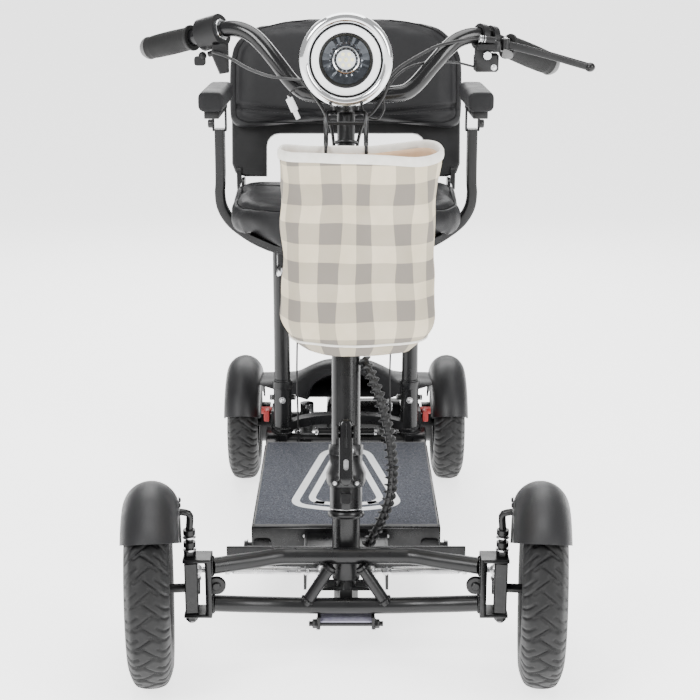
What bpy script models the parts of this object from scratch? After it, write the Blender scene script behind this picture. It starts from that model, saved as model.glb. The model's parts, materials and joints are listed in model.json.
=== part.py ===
"""A four-wheel folding mobility scooter: tubular front frame, folding tiller, flat deck, padded seat.

The scooter faces -Y with its plane of symmetry at x = 0 and the ground at z = 0. While it is being
modelled, y = 0 is the front axle. The empty "scooter" then shifts everything, so that the world origin
is the middle of the bottom of the bounding box.
"""

import bmesh
import bpy
from math import atan2, cos, pi, radians, sin, sqrt, tan
from mathutils import Matrix, Vector

# Driving dimensions, in metres.
WHEELBASE = 0.740
MIDDLE = (0.0241, 0.3625)  # middle of the bounding box, measured from the front axle
GAP = 0.0005  # clearance between neighbouring pieces

FRONT_WHEEL_X, FRONT_WHEEL_R, FRONT_TYRE_W = 0.2580, 0.1275, 0.058
TOE_IN = radians(6)
REAR_WHEEL_X, REAR_WHEEL_R, REAR_TYRE_W = 0.1847, 0.1045, 0.055
KINGPIN_X = 0.2045
TUBE_R = 0.0110
TIE_ROD_R = 0.0055

RAKE = radians(16)  # of the steering column, back from upright
COLUMN_FOOT = Vector((0, 0.064, 0.105))
UP = Vector((0, sin(RAKE), cos(RAKE)))  # along the column
BACK = Vector((0, cos(RAKE), -sin(RAKE)))  # square to the column, towards the seat
SIDE = Vector((1, 0, 0))

DECK_TOP = 0.135
DECK_FRONT, DECK_BACK, DECK_HALF = 0.190, 0.545, 0.134

SEAT_HALF, SEAT_FRONT, SEAT_BACK = 0.1945, 0.418, 0.7240
SEAT_BOTTOM, SEAT_TOP = 0.480, 0.552
POST_X, POST_Y, POST_R = 0.1095, 0.605, 0.0135
RECLINE = radians(13)
BACKREST_HINGE = Vector((0, 0.752, 0.540))

BASKET_X, BASKET_HALF, BASKET_FRONT, BASKET_BACK = 0.0110, 0.096, 0.010, 0.124
BASKET_BOTTOM, BASKET_TOP, BASKET_WALL = 0.424, 0.690, 0.006

HEADLIGHT = Vector((0, 0.2080, 0.7950))
HEADLIGHT_R = 0.0625


def column(s, back=0.0, side=0.0):
    """A point s along the column, back from its axis and to the side of it."""
    return COLUMN_FOOT + UP * s + BACK * back + SIDE * side


# ---------------------------------------------------------------- scene, materials, bodies

for old in list(bpy.data.objects):
    bpy.data.objects.remove(old)

FINISHES = {}


def finish(name, colour, roughness, metallic=0.0):
    material = bpy.data.materials.new(name)
    material.use_nodes = True
    shader = material.node_tree.nodes["Principled BSDF"]
    shader.inputs["Base Color"].default_value = (*colour, 1)
    shader.inputs["Roughness"].default_value = roughness
    shader.inputs["Metallic"].default_value = metallic
    material.diffuse_color = (*colour, 1)
    FINISHES[name] = material


finish("black_powder_coat", (0.018, 0.018, 0.020), 0.38, 0.4)
finish("black_plastic", (0.022, 0.022, 0.024), 0.50)
finish("tyre_rubber", (0.014, 0.014, 0.015), 0.75)
finish("black_vinyl", (0.024, 0.024, 0.027), 0.42)
finish("grip_rubber", (0.020, 0.020, 0.021), 0.65)
finish("deck_grit", (0.115, 0.120, 0.150), 0.85)
finish("zinc", (0.62, 0.62, 0.63), 0.28, 1.0)
finish("lamp_glass", (0.85, 0.87, 0.90), 0.05)
finish("red_plastic", (0.55, 0.02, 0.02), 0.40)
finish("canvas", (0.78, 0.70, 0.52), 0.85)

BODIES = {}


def body(name, pivot, parent=None):
    """An empty on the joint's axis, which carries the pieces that move together."""
    empty = bpy.data.objects.new("body_" + name, None)
    bpy.context.collection.objects.link(empty)
    empty.location = pivot
    if parent:
        empty.parent = BODIES[parent]
        empty.location = Vector(pivot) - place_of(parent)
    BODIES[name] = empty
    empty["place"] = tuple(pivot)


def place_of(name):
    return Vector(BODIES[name]["place"])


# ---------------------------------------------------------------- shapes, each a closed bmesh


def closed(shape):
    bmesh.ops.remove_doubles(shape, verts=shape.verts, dist=1e-6)
    bmesh.ops.recalc_face_normals(shape, faces=shape.faces)
    return shape


def basis(direction, near=None):
    """A matrix whose Z runs along direction and whose X is as near as can be to the given vector."""
    z = Vector(direction).normalized()
    x = Vector(near) if near is not None else (SIDE if abs(z.x) < 0.9 else Vector((0, 1, 0)))
    y = z.cross(x).normalized()
    return Matrix((y.cross(z), y, z)).transposed()


def lathe(profile, origin, direction, steps=24):
    """Turns (radius, height) points round an axis. Points on the axis close the ends, else it is a ring."""
    shape = bmesh.new()
    turn = basis(direction)
    rings = []
    for radius, height in profile:
        count = 1 if radius == 0 else steps
        angles = [2 * pi * i / steps for i in range(count)]
        points = [Vector((radius * cos(a), radius * sin(a), height)) for a in angles]
        rings.append([shape.verts.new(Vector(origin) + turn @ p) for p in points])
    is_ring = profile[0][0] > 0 and profile[-1][0] > 0
    pairs = list(zip(rings, rings[1:])) + ([(rings[-1], rings[0])] if is_ring else [])
    for a, b in pairs:
        for i in range(steps if len(a) + len(b) > 2 else 0):
            j = (i + 1) % steps
            corners = [a[i % len(a)], a[j % len(a)], b[j % len(b)], b[i % len(b)]]
            shape.faces.new(list(dict.fromkeys(corners)))
    return closed(shape)


def rod(start, end, radius, steps=12, end_radius=None):
    """A round bar between two points, tapered if end_radius is given."""
    start, end = Vector(start), Vector(end)
    length = (end - start).length
    far = radius if end_radius is None else end_radius
    return lathe([(0, 0), (radius, 0), (far, length), (0, length)], start, end - start, steps)


def pipe(start, end, radius, bore, steps=16):
    start, end = Vector(start), Vector(end)
    length = (end - start).length
    profile = [(bore, 0), (radius, 0), (radius, length), (bore, length)]
    return lathe(profile, start, end - start, steps)


def ball(centre, radius, steps=12):
    rows = 5
    heights = [-pi / 2 + pi * i / rows for i in range(rows + 1)]
    profile = [(radius * cos(a) if 0 < i < rows else 0, radius * sin(a)) for i, a in enumerate(heights)]
    return lathe(profile, centre, (0, 0, 1), steps)


def smooth_path(points, steps=4):
    """A smooth curve through the points."""
    points = [Vector(p) for p in points]
    padded = [2 * points[0] - points[1]] + points + [2 * points[-1] - points[-2]]
    path = []
    for a, b, c, d in zip(padded, padded[1:], padded[2:], padded[3:]):
        for i in range(steps):
            t = i / steps
            line = 2 * b + (c - a) * t + (2 * a - 5 * b + 4 * c - d) * t**2 + (3 * b - a - 3 * c + d) * t**3
            path.append(line / 2)
    return path + [points[-1]]


def mirrored(points):
    """The half path on +x, with its reflection joined on at x = 0."""
    left = [Vector((-p[0], p[1], p[2])) for p in reversed(points) if p[0] > 0]
    return left + [Vector(p) for p in points]


def sweep(path, section, near):
    """Carries a closed 2-D section along a path, its X kept as near as can be to the vector near."""
    path = [Vector(p) for p in path]
    shape = bmesh.new()
    rings = []
    for i, point in enumerate(path):
        along = path[min(i + 1, len(path) - 1)] - path[max(i - 1, 0)]
        turn = basis(along, near)
        rings.append([shape.verts.new(point + turn @ Vector((x, y, 0))) for x, y in section])
    for a, b in zip(rings, rings[1:]):
        for i in range(len(section)):
            j = (i + 1) % len(section)
            shape.faces.new((a[i], a[j], b[j], b[i]))
    shape.faces.new(rings[0])
    shape.faces.new(rings[-1])
    return closed(shape)


def round_section(radius, sides=12):
    return [(radius * cos(2 * pi * i / sides), radius * sin(2 * pi * i / sides)) for i in range(sides)]


def flat_section(width, thickness):
    return [(-width / 2, -thickness / 2), (width / 2, -thickness / 2), (width / 2, thickness / 2), (-width / 2, thickness / 2)]


def tube(path, radius, sides=12, near=(0, 0, 1)):
    return sweep(path, round_section(radius, sides), near)


def prism(outline, start, depth, across=(1, 0, 0), normal=(0, 1, 0), bevel=0.0, rows=1):
    """Extrudes a 2-D outline: its first axis is across, it is pushed along normal, and it starts at start."""
    turn = basis(normal, across)
    shape = bmesh.new()
    near = [shape.verts.new(Vector(start) + turn @ Vector((x, y, 0))) for x, y in outline]
    far = [shape.verts.new(Vector(start) + turn @ Vector((x, y, depth))) for x, y in outline]
    shape.faces.new(near)
    shape.faces.new(far)
    for i in range(len(outline)):
        j = (i + 1) % len(outline)
        shape.faces.new((near[i], near[j], far[j], far[i]))
    closed(shape)
    if bevel:
        rims = [e for e in shape.edges if all(v in near for v in e.verts) or all(v in far for v in e.verts)]
        bmesh.ops.bevel(shape, geom=rims, offset=bevel, segments=rows, affect="EDGES", clamp_overlap=True)
    return closed(shape)


def block(low, high, bevel=0.0):
    shape = bmesh.new()
    bmesh.ops.create_cube(shape, size=1)
    low, high = Vector(low), Vector(high)
    bmesh.ops.scale(shape, vec=high - low, verts=shape.verts)
    bmesh.ops.translate(shape, vec=(low + high) / 2, verts=shape.verts)
    if bevel:
        bmesh.ops.bevel(shape, geom=shape.edges[:], offset=bevel, segments=1, affect="EDGES", clamp_overlap=True)
    return closed(shape)


def slab(low, high, bevel=0.0):
    """A block in the column's own axes: side, back and up along the column."""
    shape = block(low, high, bevel)
    turn = Matrix((SIDE, BACK, UP)).transposed().to_4x4()
    bmesh.ops.transform(shape, matrix=Matrix.Translation(COLUMN_FOOT) @ turn, verts=shape.verts)
    return shape


def rounded(width, height, radius, centre=(0, 0), steps=4):
    """The outline of a rectangle with round corners."""
    points = []
    for corner, (sx, sy) in enumerate(((1, 1), (-1, 1), (-1, -1), (1, -1))):
        cx, cy = centre[0] + sx * (width / 2 - radius), centre[1] + sy * (height / 2 - radius)
        for i in range(steps + 1):
            a = pi / 2 * (corner + i / steps)
            points.append((cx + radius * cos(a), cy + radius * sin(a)))
    return points


def reflect(shape):
    """The shape's mirror image in x = 0."""
    other = shape.copy()
    bmesh.ops.scale(other, vec=(-1, 1, 1), verts=other.verts)
    return closed(other)


# ---------------------------------------------------------------- objects from shapes


def mesh_object(name, shape, at, parent):
    mesh = bpy.data.meshes.new(name)
    bmesh.ops.translate(shape, vec=-Vector(at), verts=shape.verts)
    shape.to_mesh(mesh)
    shape.free()
    obj = bpy.data.objects.new(name, mesh)
    obj.parent = parent
    return obj


def combine(obj, shapes, operation, at):
    """Adds or cuts the shapes with one Boolean whose operands sit in a collection of helpers."""
    helpers = bpy.data.collections.new(f"{obj.name}_{operation.lower()}")
    bpy.context.scene.collection.children.link(helpers)
    for i, shape in enumerate(shapes):
        helper = mesh_object(f"{obj.name}_{operation.lower()}_{i}", shape, at, obj.parent)
        helper.hide_render = True
        helper.display_type = "WIRE"
        helpers.objects.link(helper)
    step = obj.modifiers.new(operation.title(), "BOOLEAN")
    step.operation = operation
    step.operand_type = "COLLECTION"
    step.collection = helpers
    step.solver = "EXACT"


def piece(name, body_name, finish_name, shapes, cuts=(), added=()):
    """One node: shapes welded into a single body, the cuts taken out, and then the added shapes welded on."""
    shapes = shapes if isinstance(shapes, list) else [shapes]
    at = place_of(body_name)
    obj = mesh_object(name, shapes[0], at, BODIES[body_name])
    bpy.context.collection.objects.link(obj)
    obj.data.materials.append(FINISHES[finish_name])
    obj.data.shade_smooth()
    obj.data.set_sharp_from_angle(angle=radians(35))
    if shapes[1:]:
        combine(obj, shapes[1:], "UNION", at)
    if cuts:
        combine(obj, list(cuts), "DIFFERENCE", at)
    if added:
        combine(obj, list(added), "UNION", at)
    return obj


def pair(name, body_name, finish_name, make, cuts=None):
    """The same piece on both sides: make() gives the rider's left one (+x), and the right is its reflection."""
    left = make()
    left = left if isinstance(left, list) else [left]
    taken = list(cuts()) if cuts else []
    right, right_cuts = [reflect(s) for s in left], [reflect(s) for s in taken]
    for side, shapes, holes in (("left", left, taken), ("right", right, right_cuts)):
        rides = f"{body_name}_{side}" if f"{body_name}_{side}" in BODIES else body_name
        piece(f"{name}_{side}", rides, finish_name, shapes, holes)


# ---------------------------------------------------------------- the bodies and their joints' axes

FOLD_PIVOT = column(0.131, back=0.024)
LATCH_PIVOT = column(0.207, back=-0.033)
TIE_ROD_BALL = column(0.0095, back=0.036, side=0.035)
ARM_END = Vector((0.197, 0.048, 0.1305))  # the steering arm's ball while the wheel points straight ahead
ARM_PIVOT = Vector((0.204, 0.5775, 0.668))
FREEWHEEL_PIVOT = Vector((0.139, 0.6480, 0.157))
THROTTLE_PIVOT = Vector((-0.195, 0.304, 0.7960))
BRAKE_PIVOT = Vector((0.2205, 0.288, 0.8105))
HORN = Vector((0.195, 0.281, 0.796))
SEAT_LATCH_PIVOT = Vector((-0.1010, 0.466, 0.452))


def mirror_point(point):
    return Vector((-point[0], point[1], point[2]))


KINGPIN = Vector((KINGPIN_X, 0, 0))
TIE_ROD_END = KINGPIN + Matrix.Rotation(-TOE_IN, 3, "Z") @ (ARM_END - KINGPIN)


body("scooter", (0, 0, 0))
BODIES["scooter"].location = (-MIDDLE[0], -MIDDLE[1], 0)
body("steering", column(0.09), "scooter")
body("stem", FOLD_PIVOT, "steering")
body("latch", LATCH_PIVOT, "stem")
body("handlebar", column(0.45), "stem")
body("throttle", THROTTLE_PIVOT, "handlebar")
body("brake", BRAKE_PIVOT, "handlebar")
body("horn", HORN, "handlebar")
body("seat", (0, POST_Y, 0.24), "scooter")
body("backrest", BACKREST_HINGE, "seat")
body("seat_latch", SEAT_LATCH_PIVOT, "seat")
for side_name, sign in (("left", 1), ("right", -1)):
    place = (lambda p: Vector(p)) if sign > 0 else mirror_point
    body(f"knuckle_{side_name}", (sign * KINGPIN_X, 0, FRONT_WHEEL_R), "scooter")
    BODIES[f"knuckle_{side_name}"].rotation_euler = (0, 0, -sign * TOE_IN)
    body(f"front_wheel_{side_name}", (sign * FRONT_WHEEL_X, 0, FRONT_WHEEL_R), f"knuckle_{side_name}")
    body(f"rear_wheel_{side_name}", (sign * REAR_WHEEL_X, WHEELBASE, REAR_WHEEL_R), "scooter")
    body(f"tie_rod_{side_name}", place(TIE_ROD_BALL), "steering")
    body(f"freewheel_{side_name}", place(FREEWHEEL_PIVOT), "scooter")
    body(f"armrest_{side_name}", place(ARM_PIVOT), "seat")


# ---------------------------------------------------------------- front frame

HEAD_TUBE_R, SHAFT_R = 0.0189, 0.0140
BRACKET_IN, BRACKET_WEB, BRACKET_OUT = 0.176, 0.008, 0.2130
BRACKET_LOW, BRACKET_HIGH, FLANGE = 0.0905, 0.1735, 0.005
BRACKET_DEPTH = 0.032


def bracket_faces():
    """Cutters that end a tube square against the kingpin brackets."""
    face = BRACKET_IN - GAP
    right = block((face, -0.05, 0.05), (face + 0.05, 0.05, 0.20))
    return [right, reflect(right)]


def upper_front_tube():
    end = BRACKET_IN + 0.006
    half = [(0, 0.046, 0.152), (0.070, 0.046, 0.152), (0.092, 0.043, 0.1525), (0.125, 0.027, 0.154), (end, 0.002, 0.157)]
    shape = tube(smooth_path(mirrored(half), 2), TUBE_R)
    piece("upper_front_tube", "scooter", "black_powder_coat", shape, bracket_faces())


def lower_front_tube():
    end = BRACKET_IN + 0.006
    half = [(0, 0.030, 0.086), (0.060, 0.029, 0.087), (0.100, 0.023, 0.091), (0.140, 0.009, 0.099), (end, 0, 0.105)]
    brace = rod((0.020, 0.034, 0.137), (0.0540, 0.026, 0.092), 0.0078)
    shapes = [tube(smooth_path(mirrored(half), 2), TUBE_R), brace, reflect(brace)]
    piece("lower_front_tube", "scooter", "black_powder_coat", shapes, bracket_faces())


def kingpin_brackets():
    def channel():
        inner, web, outer = BRACKET_IN, BRACKET_IN + BRACKET_WEB, BRACKET_OUT
        low, high = BRACKET_LOW, BRACKET_HIGH
        outline = [(inner, low), (outer, low), (outer, low + FLANGE), (web, low + FLANGE)]
        outline += [(web, high - FLANGE), (outer, high - FLANGE), (outer, high), (inner, high)]
        outline = [(x, -z) for x, z in outline]
        return prism(outline, (0, -BRACKET_DEPTH / 2, 0), BRACKET_DEPTH, bevel=0.0012)

    def pin_holes():
        return [rod((KINGPIN_X, 0, 0.06), (KINGPIN_X, 0, 0.21), 0.0065)]

    pair("kingpin_bracket", "scooter", "black_powder_coat", channel, pin_holes)


def head_tube():
    profile = [(SHAFT_R + 0.001, 0.003), (0.0172, 0.003), (HEAD_TUBE_R, 0.006), (HEAD_TUBE_R, 0.088), (0.0236, 0.0895)]
    profile += [(0.0249, 0.092), (0.0249, 0.095), (0.0236, 0.0975), (SHAFT_R + 0.001, 0.0975)]
    piece("head_tube", "scooter", "black_powder_coat", lathe(profile, COLUMN_FOOT, UP))


def front_carrier():
    plate = block((-0.168, 0.122, 0.098), (0.168, 0.126, 0.131), 0.001)
    tongue = block((-0.022, 0.094, 0.127), (0.022, 0.124, 0.1305))
    cheek = block((0.0560, 0.124, 0.064), (0.0600, DECK_FRONT - GAP, 0.124))
    lid = block((-0.058, 0.124, 0.119), (0.058, DECK_FRONT - GAP, 0.1235))
    shapes = [plate, tongue, cheek, reflect(cheek), lid]
    piece("front_carrier", "scooter", "black_powder_coat", shapes)


def skid_plate():
    cheek = block((0.0345, 0.018, 0.0560), (0.0390, 0.042, 0.0744), 0.001)
    guard = block((-0.036, 0.022, 0.0650), (0.036, 0.060, 0.0675))
    bolt = rod((-0.050, 0.025, 0.062), (0.050, 0.025, 0.062), 0.0035, 8)
    piece("skid_plate", "scooter", "black_powder_coat", [guard, cheek, reflect(cheek), bolt])


# ---------------------------------------------------------------- wheels and steering linkage


def tyre(x, y, radius, width, bead):
    """A rounded tyre standing on its rim."""
    half = width / 2
    crown = [(-0.30, 1.0), (0.30, 1.0), (0.72, 0.86), (0.98, 0.50), (0.94, 0.22), (0.70, 0.0)]
    half_profile = [(bead + (radius - bead) * h, half * w) for w, h in crown[1:]]
    profile = [(r, -w) for r, w in reversed(half_profile)] + half_profile
    return lathe(profile, (x, y, radius), (1, 0, 0), 24)


def rim(x, y, radius, half, bead, bore):
    """A dished rim: its disc sits outboard of the middle, so that the knuckle fits inside the barrel."""
    barrel = bead - 0.009
    profile = [(bore, -0.017), (0.017, -0.017), (0.019, 0.004), (barrel, 0.008), (barrel, -half), (bead, -half)]
    profile += [(bead, half), (barrel, half), (barrel, 0.014), (0.019, 0.014), (0.017, 0.021), (bore, 0.021)]
    return lathe(profile, (x, y, radius), (1, 0, 0), 24)


def wheels():
    def front_tyre():
        return tyre(FRONT_WHEEL_X, 0, FRONT_WHEEL_R, FRONT_TYRE_W, 0.0785)

    def front_rim():
        return rim(FRONT_WHEEL_X, 0, FRONT_WHEEL_R, 0.0220, 0.0780, 0.0066)

    def rear_tyre():
        return tyre(REAR_WHEEL_X, WHEELBASE, REAR_WHEEL_R, REAR_TYRE_W, 0.0625)

    def rear_rim():
        return rim(REAR_WHEEL_X, WHEELBASE, REAR_WHEEL_R, 0.0220, 0.0620, 0.0086)

    pair("front_tyre", "front_wheel", "tyre_rubber", front_tyre)
    pair("front_rim", "front_wheel", "black_powder_coat", front_rim)
    pair("rear_tyre", "rear_wheel", "tyre_rubber", rear_tyre)
    pair("rear_rim", "rear_wheel", "black_powder_coat", rear_rim)


FENDER_X, FENDER_WIDTH = 0.2540, 0.0740
FENDER_IN = FENDER_X - FENDER_WIDTH / 2


def knuckles():
    """The upright on its kingpin, with the stub axle, the steering arm and the stay that holds the fender."""

    def upright():
        x = KINGPIN_X
        low, high = BRACKET_LOW + FLANGE + GAP, BRACKET_HIGH - FLANGE - GAP
        post = block((x - 0.0095, -0.0145, low), (x + 0.0080, 0.0145, high), 0.0015)
        pin = rod((x, 0, 0.079), (x, 0, 0.186), 0.0055)
        nuts = [rod((x, 0, 0.081), (x, 0, BRACKET_LOW - GAP), 0.0080, 6)]
        nuts += [rod((x, 0, BRACKET_HIGH + GAP), (x, 0, 0.1810), 0.0080, 6)]
        axle = rod((x, 0, FRONT_WHEEL_R), (FRONT_WHEEL_X + 0.023, 0, FRONT_WHEEL_R), 0.0060)
        arm = block((0.1925, 0.010, 0.1115), (0.206, 0.058, 0.1175), 0.0012)
        stud = rod((ARM_END.x, ARM_END.y, 0.116), (ARM_END.x, ARM_END.y, 0.1195), 0.006)
        bend = [(x, 0, 0.180), (x, 0, 0.207), (x - 0.0015, 0, 0.224), (x, 0, 0.2325), (FENDER_IN - 0.001, 0, 0.2355)]
        route = smooth_path(bend, 2)
        stay = tube(route, 0.0048, 8, near=(0, 1, 0))
        collars = [rod((x, 0, z), (x, 0, z + 0.0068), 0.0080, 12) for z in (0.1865, 0.2035)]
        return [post, pin, *nuts, axle, arm, stud, stay, *collars]

    pair("knuckle", "knuckle", "black_powder_coat", upright)


def arc_path(x, y, z, radius, start, end, steps):
    """Points on an arc in the YZ plane: angles in degrees from straight up, positive towards the back."""
    angles = [radians(start + (end - start) * i / steps) for i in range(steps + 1)]
    return [(x, y + radius * sin(a), z + radius * cos(a)) for a in angles]


def fender_section(width, skirt, thickness=0.003):
    """A domed channel. Its X is across the wheel and its Y goes in towards the axle."""
    angles = [pi * i / 8 - pi / 2 for i in range(9)]
    outer, inner = width / 2, width / 2 - thickness
    outside = [(outer * sin(a), outer * (1 - cos(a))) for a in angles]
    inside = [(inner * sin(a), outer - inner * cos(a)) for a in reversed(angles)]
    low = outer + skirt
    return [(-outer, low)] + outside + [(outer, low), (inner, low)] + inside + [(-inner, low)]


def front_fenders():
    def shell():
        path = arc_path(FENDER_X, 0, FRONT_WHEEL_R, FRONT_WHEEL_R + 0.015, -50, 84, 12)
        return sweep(path, fender_section(FENDER_WIDTH, 0.004), near=(1, 0, 0))

    def lip():
        """The front edge is trimmed along a slope that falls towards the back."""
        outline = [(-0.200, 0.2795), (0, 0.1915), (0, 0.050), (-0.200, 0.050)]
        return [prism(outline, (0.20, 0, 0), 0.12, (0, 1, 0), (1, 0, 0))]

    pair("front_fender", "knuckle", "black_plastic", shell, lip)


def tie_rods():
    def link():
        inner, outer = TIE_ROD_BALL, TIE_ROD_END
        along = (outer - inner).normalized()
        stud = rod(inner, inner - UP * 0.0127, 0.0038, 8)
        thread = rod(inner, inner + along * 0.034, 0.0032, 8)
        nut = rod(inner + along * 0.018, inner + along * 0.024, 0.0060, 6)
        middle = rod(inner + along * 0.028, outer - along * 0.050, TIE_ROD_R, 10)
        end = rod(outer - along * 0.056, outer, 0.0042, 8)
        return [middle, thread, nut, end, ball(inner, 0.0085), ball(outer, 0.0080), stud]

    pair("tie_rod", "tie_rod", "zinc", link)


EAR_X = 0.0155


def steering_shaft():
    """The shaft through the head tube: the pitman plate below it and the tiller's hinge cup on top."""
    pitman = slab((-0.045, -0.012, -0.0100), (0.045, 0.045, -0.0040), 0.001)
    shaft = rod(column(-0.020), column(0.110), SHAFT_R, 20)
    nut = rod(column(-0.0235), column(-0.0085), 0.0165, 6)
    cup = lathe([(0, 0.0985), (0.0200, 0.0985), (0.0221, 0.102), (0.0221, 0.1305), (0, 0.1305)], COLUMN_FOOT, UP)
    ears = [slab((x - 0.003, 0.010, 0.112), (x + 0.003, 0.033, 0.138)) for x in (-EAR_X, EAR_X)]
    pin = rod(FOLD_PIVOT - SIDE * EAR_X, FOLD_PIVOT + SIDE * EAR_X, 0.0040, 10)
    catch = slab((-0.007, -0.0300, 0.110), (0.007, -0.015, 0.124), 0.001)
    notch = slab((-0.0120, 0.0140, 0.1215), (0.0120, 0.0400, 0.140))
    piece("steering_shaft", "steering", "black_powder_coat", [shaft, pitman, nut, cup, catch, *ears], [notch], [pin])


# ---------------------------------------------------------------- tiller

STEM_R, STEM_BORE, UPPER_STEM_R = 0.0195, 0.0128, 0.0120
STEM_TOP = 0.455
BAR_S = 0.666


def stem_hinge():
    """The bell that closes on the cup, its lug on the fold pin and the collar that grips the stem."""
    bore = STEM_R + GAP
    profile = [(0, 0.1312), (0.0240, 0.1312), (0.0270, 0.138), (0.0272, 0.150), (0.0225, 0.161), (0.0222, 0.174)]
    profile += [(0.0236, 0.175), (0.0236, 0.188), (bore, 0.188), (bore, 0.164), (0, 0.164)]
    lug = slab((-0.0115, 0.015, 0.1225), (0.0115, 0.0325, 0.150))
    bolts = [rod(column(0.1375, -0.022, x), column(0.1375, -0.0290, x), 0.0045, 8) for x in (-0.0150, 0.0150)]
    ear = slab((-0.0060, -0.030, 0.176), (0.0060, -0.021, 0.187))
    relief = slab((-0.0116, -0.04, 0.100), (0.0116, 0.0149, 0.1311))
    hole = rod(FOLD_PIVOT - SIDE * 0.02, FOLD_PIVOT + SIDE * 0.02, 0.0045, 10)
    slots = [slab((x - 0.0036, 0.0090, 0.125), (x + 0.0036, 0.040, 0.1385)) for x in (-EAR_X, EAR_X)]
    piece("stem_hinge", "stem", "black_powder_coat", [lathe(profile, COLUMN_FOOT, UP), lug, *bolts, ear], [relief, hole, *slots])


def stem_lower_tube():
    profile = [(STEM_BORE, 0.1645), (STEM_R, 0.1645), (STEM_R, STEM_TOP - 0.030), (0.0225, STEM_TOP - 0.030)]
    profile += [(0.0225, STEM_TOP), (STEM_BORE, STEM_TOP)]
    ears = [slab((x - 0.0015, -0.040, 0.199), (x + 0.0015, -0.014, 0.215)) for x in (-0.0118, 0.0118)]
    piece("stem_lower_tube", "stem", "black_powder_coat", [lathe(profile, COLUMN_FOOT, UP), *ears])


def latch_lever():
    """The lever that locks the tiller upright. It swings forwards to let the hinge open."""
    outline = rounded(0.0186, 0.090, 0.006, (0, -0.180))
    plate = prism(outline, column(0) - BACK * 0.0365, 0.0065, (1, 0, 0), BACK)
    window = slab((-0.0035, -0.045, 0.156), (0.0035, -0.025, 0.170))
    piece("latch_lever", "latch", "black_powder_coat", [plate], [window])


def stem_upper_tube():
    top = BAR_S - 0.010
    clamp = pipe(column(BAR_S, side=-0.022), column(BAR_S, side=0.022), 0.0155, TUBE_R + 0.0009)
    shaft = rod(column(0.34), column(top - 0.003), UPPER_STEM_R, 18)
    piece("stem_upper_tube", "handlebar", "black_powder_coat", [shaft, clamp])


# The handlebar's centre line from the clamp outwards. The rider's left end sits a little lower than the right.
BAR_LEFT = [
    (0.0657, 0.2476, 0.7467),
    (0.0903, 0.2500, 0.7549),
    (0.1206, 0.2620, 0.7866),
    (0.1387, 0.2715, 0.8055),
    (0.1557, 0.2810, 0.8178),
    (0.1773, 0.2910, 0.8226),
    (0.2004, 0.3020, 0.8178),
    (0.2230, 0.3150, 0.8082),
    (0.2952, 0.3600, 0.7779),
]
BAR_RIGHT = [
    (-0.0460, 0.2476, 0.7467),
    (-0.0698, 0.2510, 0.7586),
    (-0.0963, 0.2620, 0.7900),
    (-0.1125, 0.2710, 0.8089),
    (-0.1293, 0.2800, 0.8238),
    (-0.1491, 0.2895, 0.8313),
    (-0.1722, 0.3010, 0.8301),
    (-0.2122, 0.3220, 0.8185),
    (-0.2828, 0.3700, 0.8006),
]


def on_bar(distance, side):
    """A point on the straight end of the handlebar, that far along it from the bend. Side +1 is the rider's left."""
    start, end = [Vector(p) for p in (BAR_LEFT if side > 0 else BAR_RIGHT)[-2:]]
    return start + (end - start).normalized() * distance


def handlebar():
    line = list(reversed(BAR_RIGHT)) + [column(BAR_S)] + BAR_LEFT
    piece("handlebar", "handlebar", "black_powder_coat", tube(smooth_path(line, 2), TUBE_R, 10))


def grips():
    for name, side in (("grip_left", 1), ("grip_right", -1)):
        start, end = on_bar(0.004, side), on_bar(0.086, side)
        length = (end - start).length
        bore = TUBE_R + 0.0013
        profile = [(bore, 0), (0.0180, 0), (0.0180, 0.004), (0.0155, 0.007), (0.0162, length / 2)]
        profile += [(0.0155, length - 0.006), (0.0165, length), (0.0125, length + 0.010), (0.006, length + 0.0135)]
        profile += [(0, length + 0.0140), (0, length + 0.0060), (bore, length + 0.0060)]
        piece(name, "handlebar", "grip_rubber", lathe(profile, start, end - start, 20))


def headlight():
    profile = [(0, -0.036), (0.020, -0.036), (0.038, -0.026), (0.0550, -0.010), (HEADLIGHT_R, -0.002), (HEADLIGHT_R, 0.006)]
    profile += [(0.0570, 0.008), (0.0560, 0.000), (0, 0.000)]
    shell = lathe(profile, HEADLIGHT, (0, -1, 0), 36)
    bracket = rod(column(BAR_S + 0.0190, -0.001), (0, 0.238, 0.792), 0.007, 10)
    piece("headlight_shell", "handlebar", "black_plastic", [shell, bracket])
    lens = lathe([(0, 0.0005), (0.0550, 0.0005), (0.0550, 0.004), (0.030, 0.0075), (0, 0.0085)], HEADLIGHT, (0, -1, 0), 28)
    piece("headlight_lens", "handlebar", "lamp_glass", lens)


def throttle():
    """The thumb throttle and its small console, on the rider's right."""
    bar_a, bar_b = Vector(BAR_RIGHT[-3]), Vector(BAR_RIGHT[-2])
    along = (bar_b - bar_a).normalized()
    ring = pipe(bar_a + along * 0.001, bar_a + along * 0.034, 0.0225, TUBE_R + 0.0026, 20)
    outline = [(-0.187, 0.797), (-0.176, 0.770), (-0.1635, 0.772), (-0.1635, 0.812), (-0.185, 0.812)]
    console = prism([(x, -z) for x, z in outline], (0, 0.286, 0), 0.018, bevel=0.002)
    tab = rod(THROTTLE_PIVOT + Vector((0.014, -0.004, 0.004)), THROTTLE_PIVOT + Vector((0.003, 0, 0)), 0.004, 8)
    piece("throttle_housing", "handlebar", "black_plastic", [ring, console, tab])
    paddle = prism(rounded(0.016, 0.013, 0.004, (0.0095, 0)), THROTTLE_PIVOT + Vector((0.0, 0.004, -0.009)), 0.006, (-1, 0, 0), (0, -1, 0))
    barrel = ball(THROTTLE_PIVOT - Vector((0.0055, 0, 0.002)), 0.006, 10)
    piece("throttle_lever", "throttle", "black_plastic", [paddle, barrel])


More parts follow.
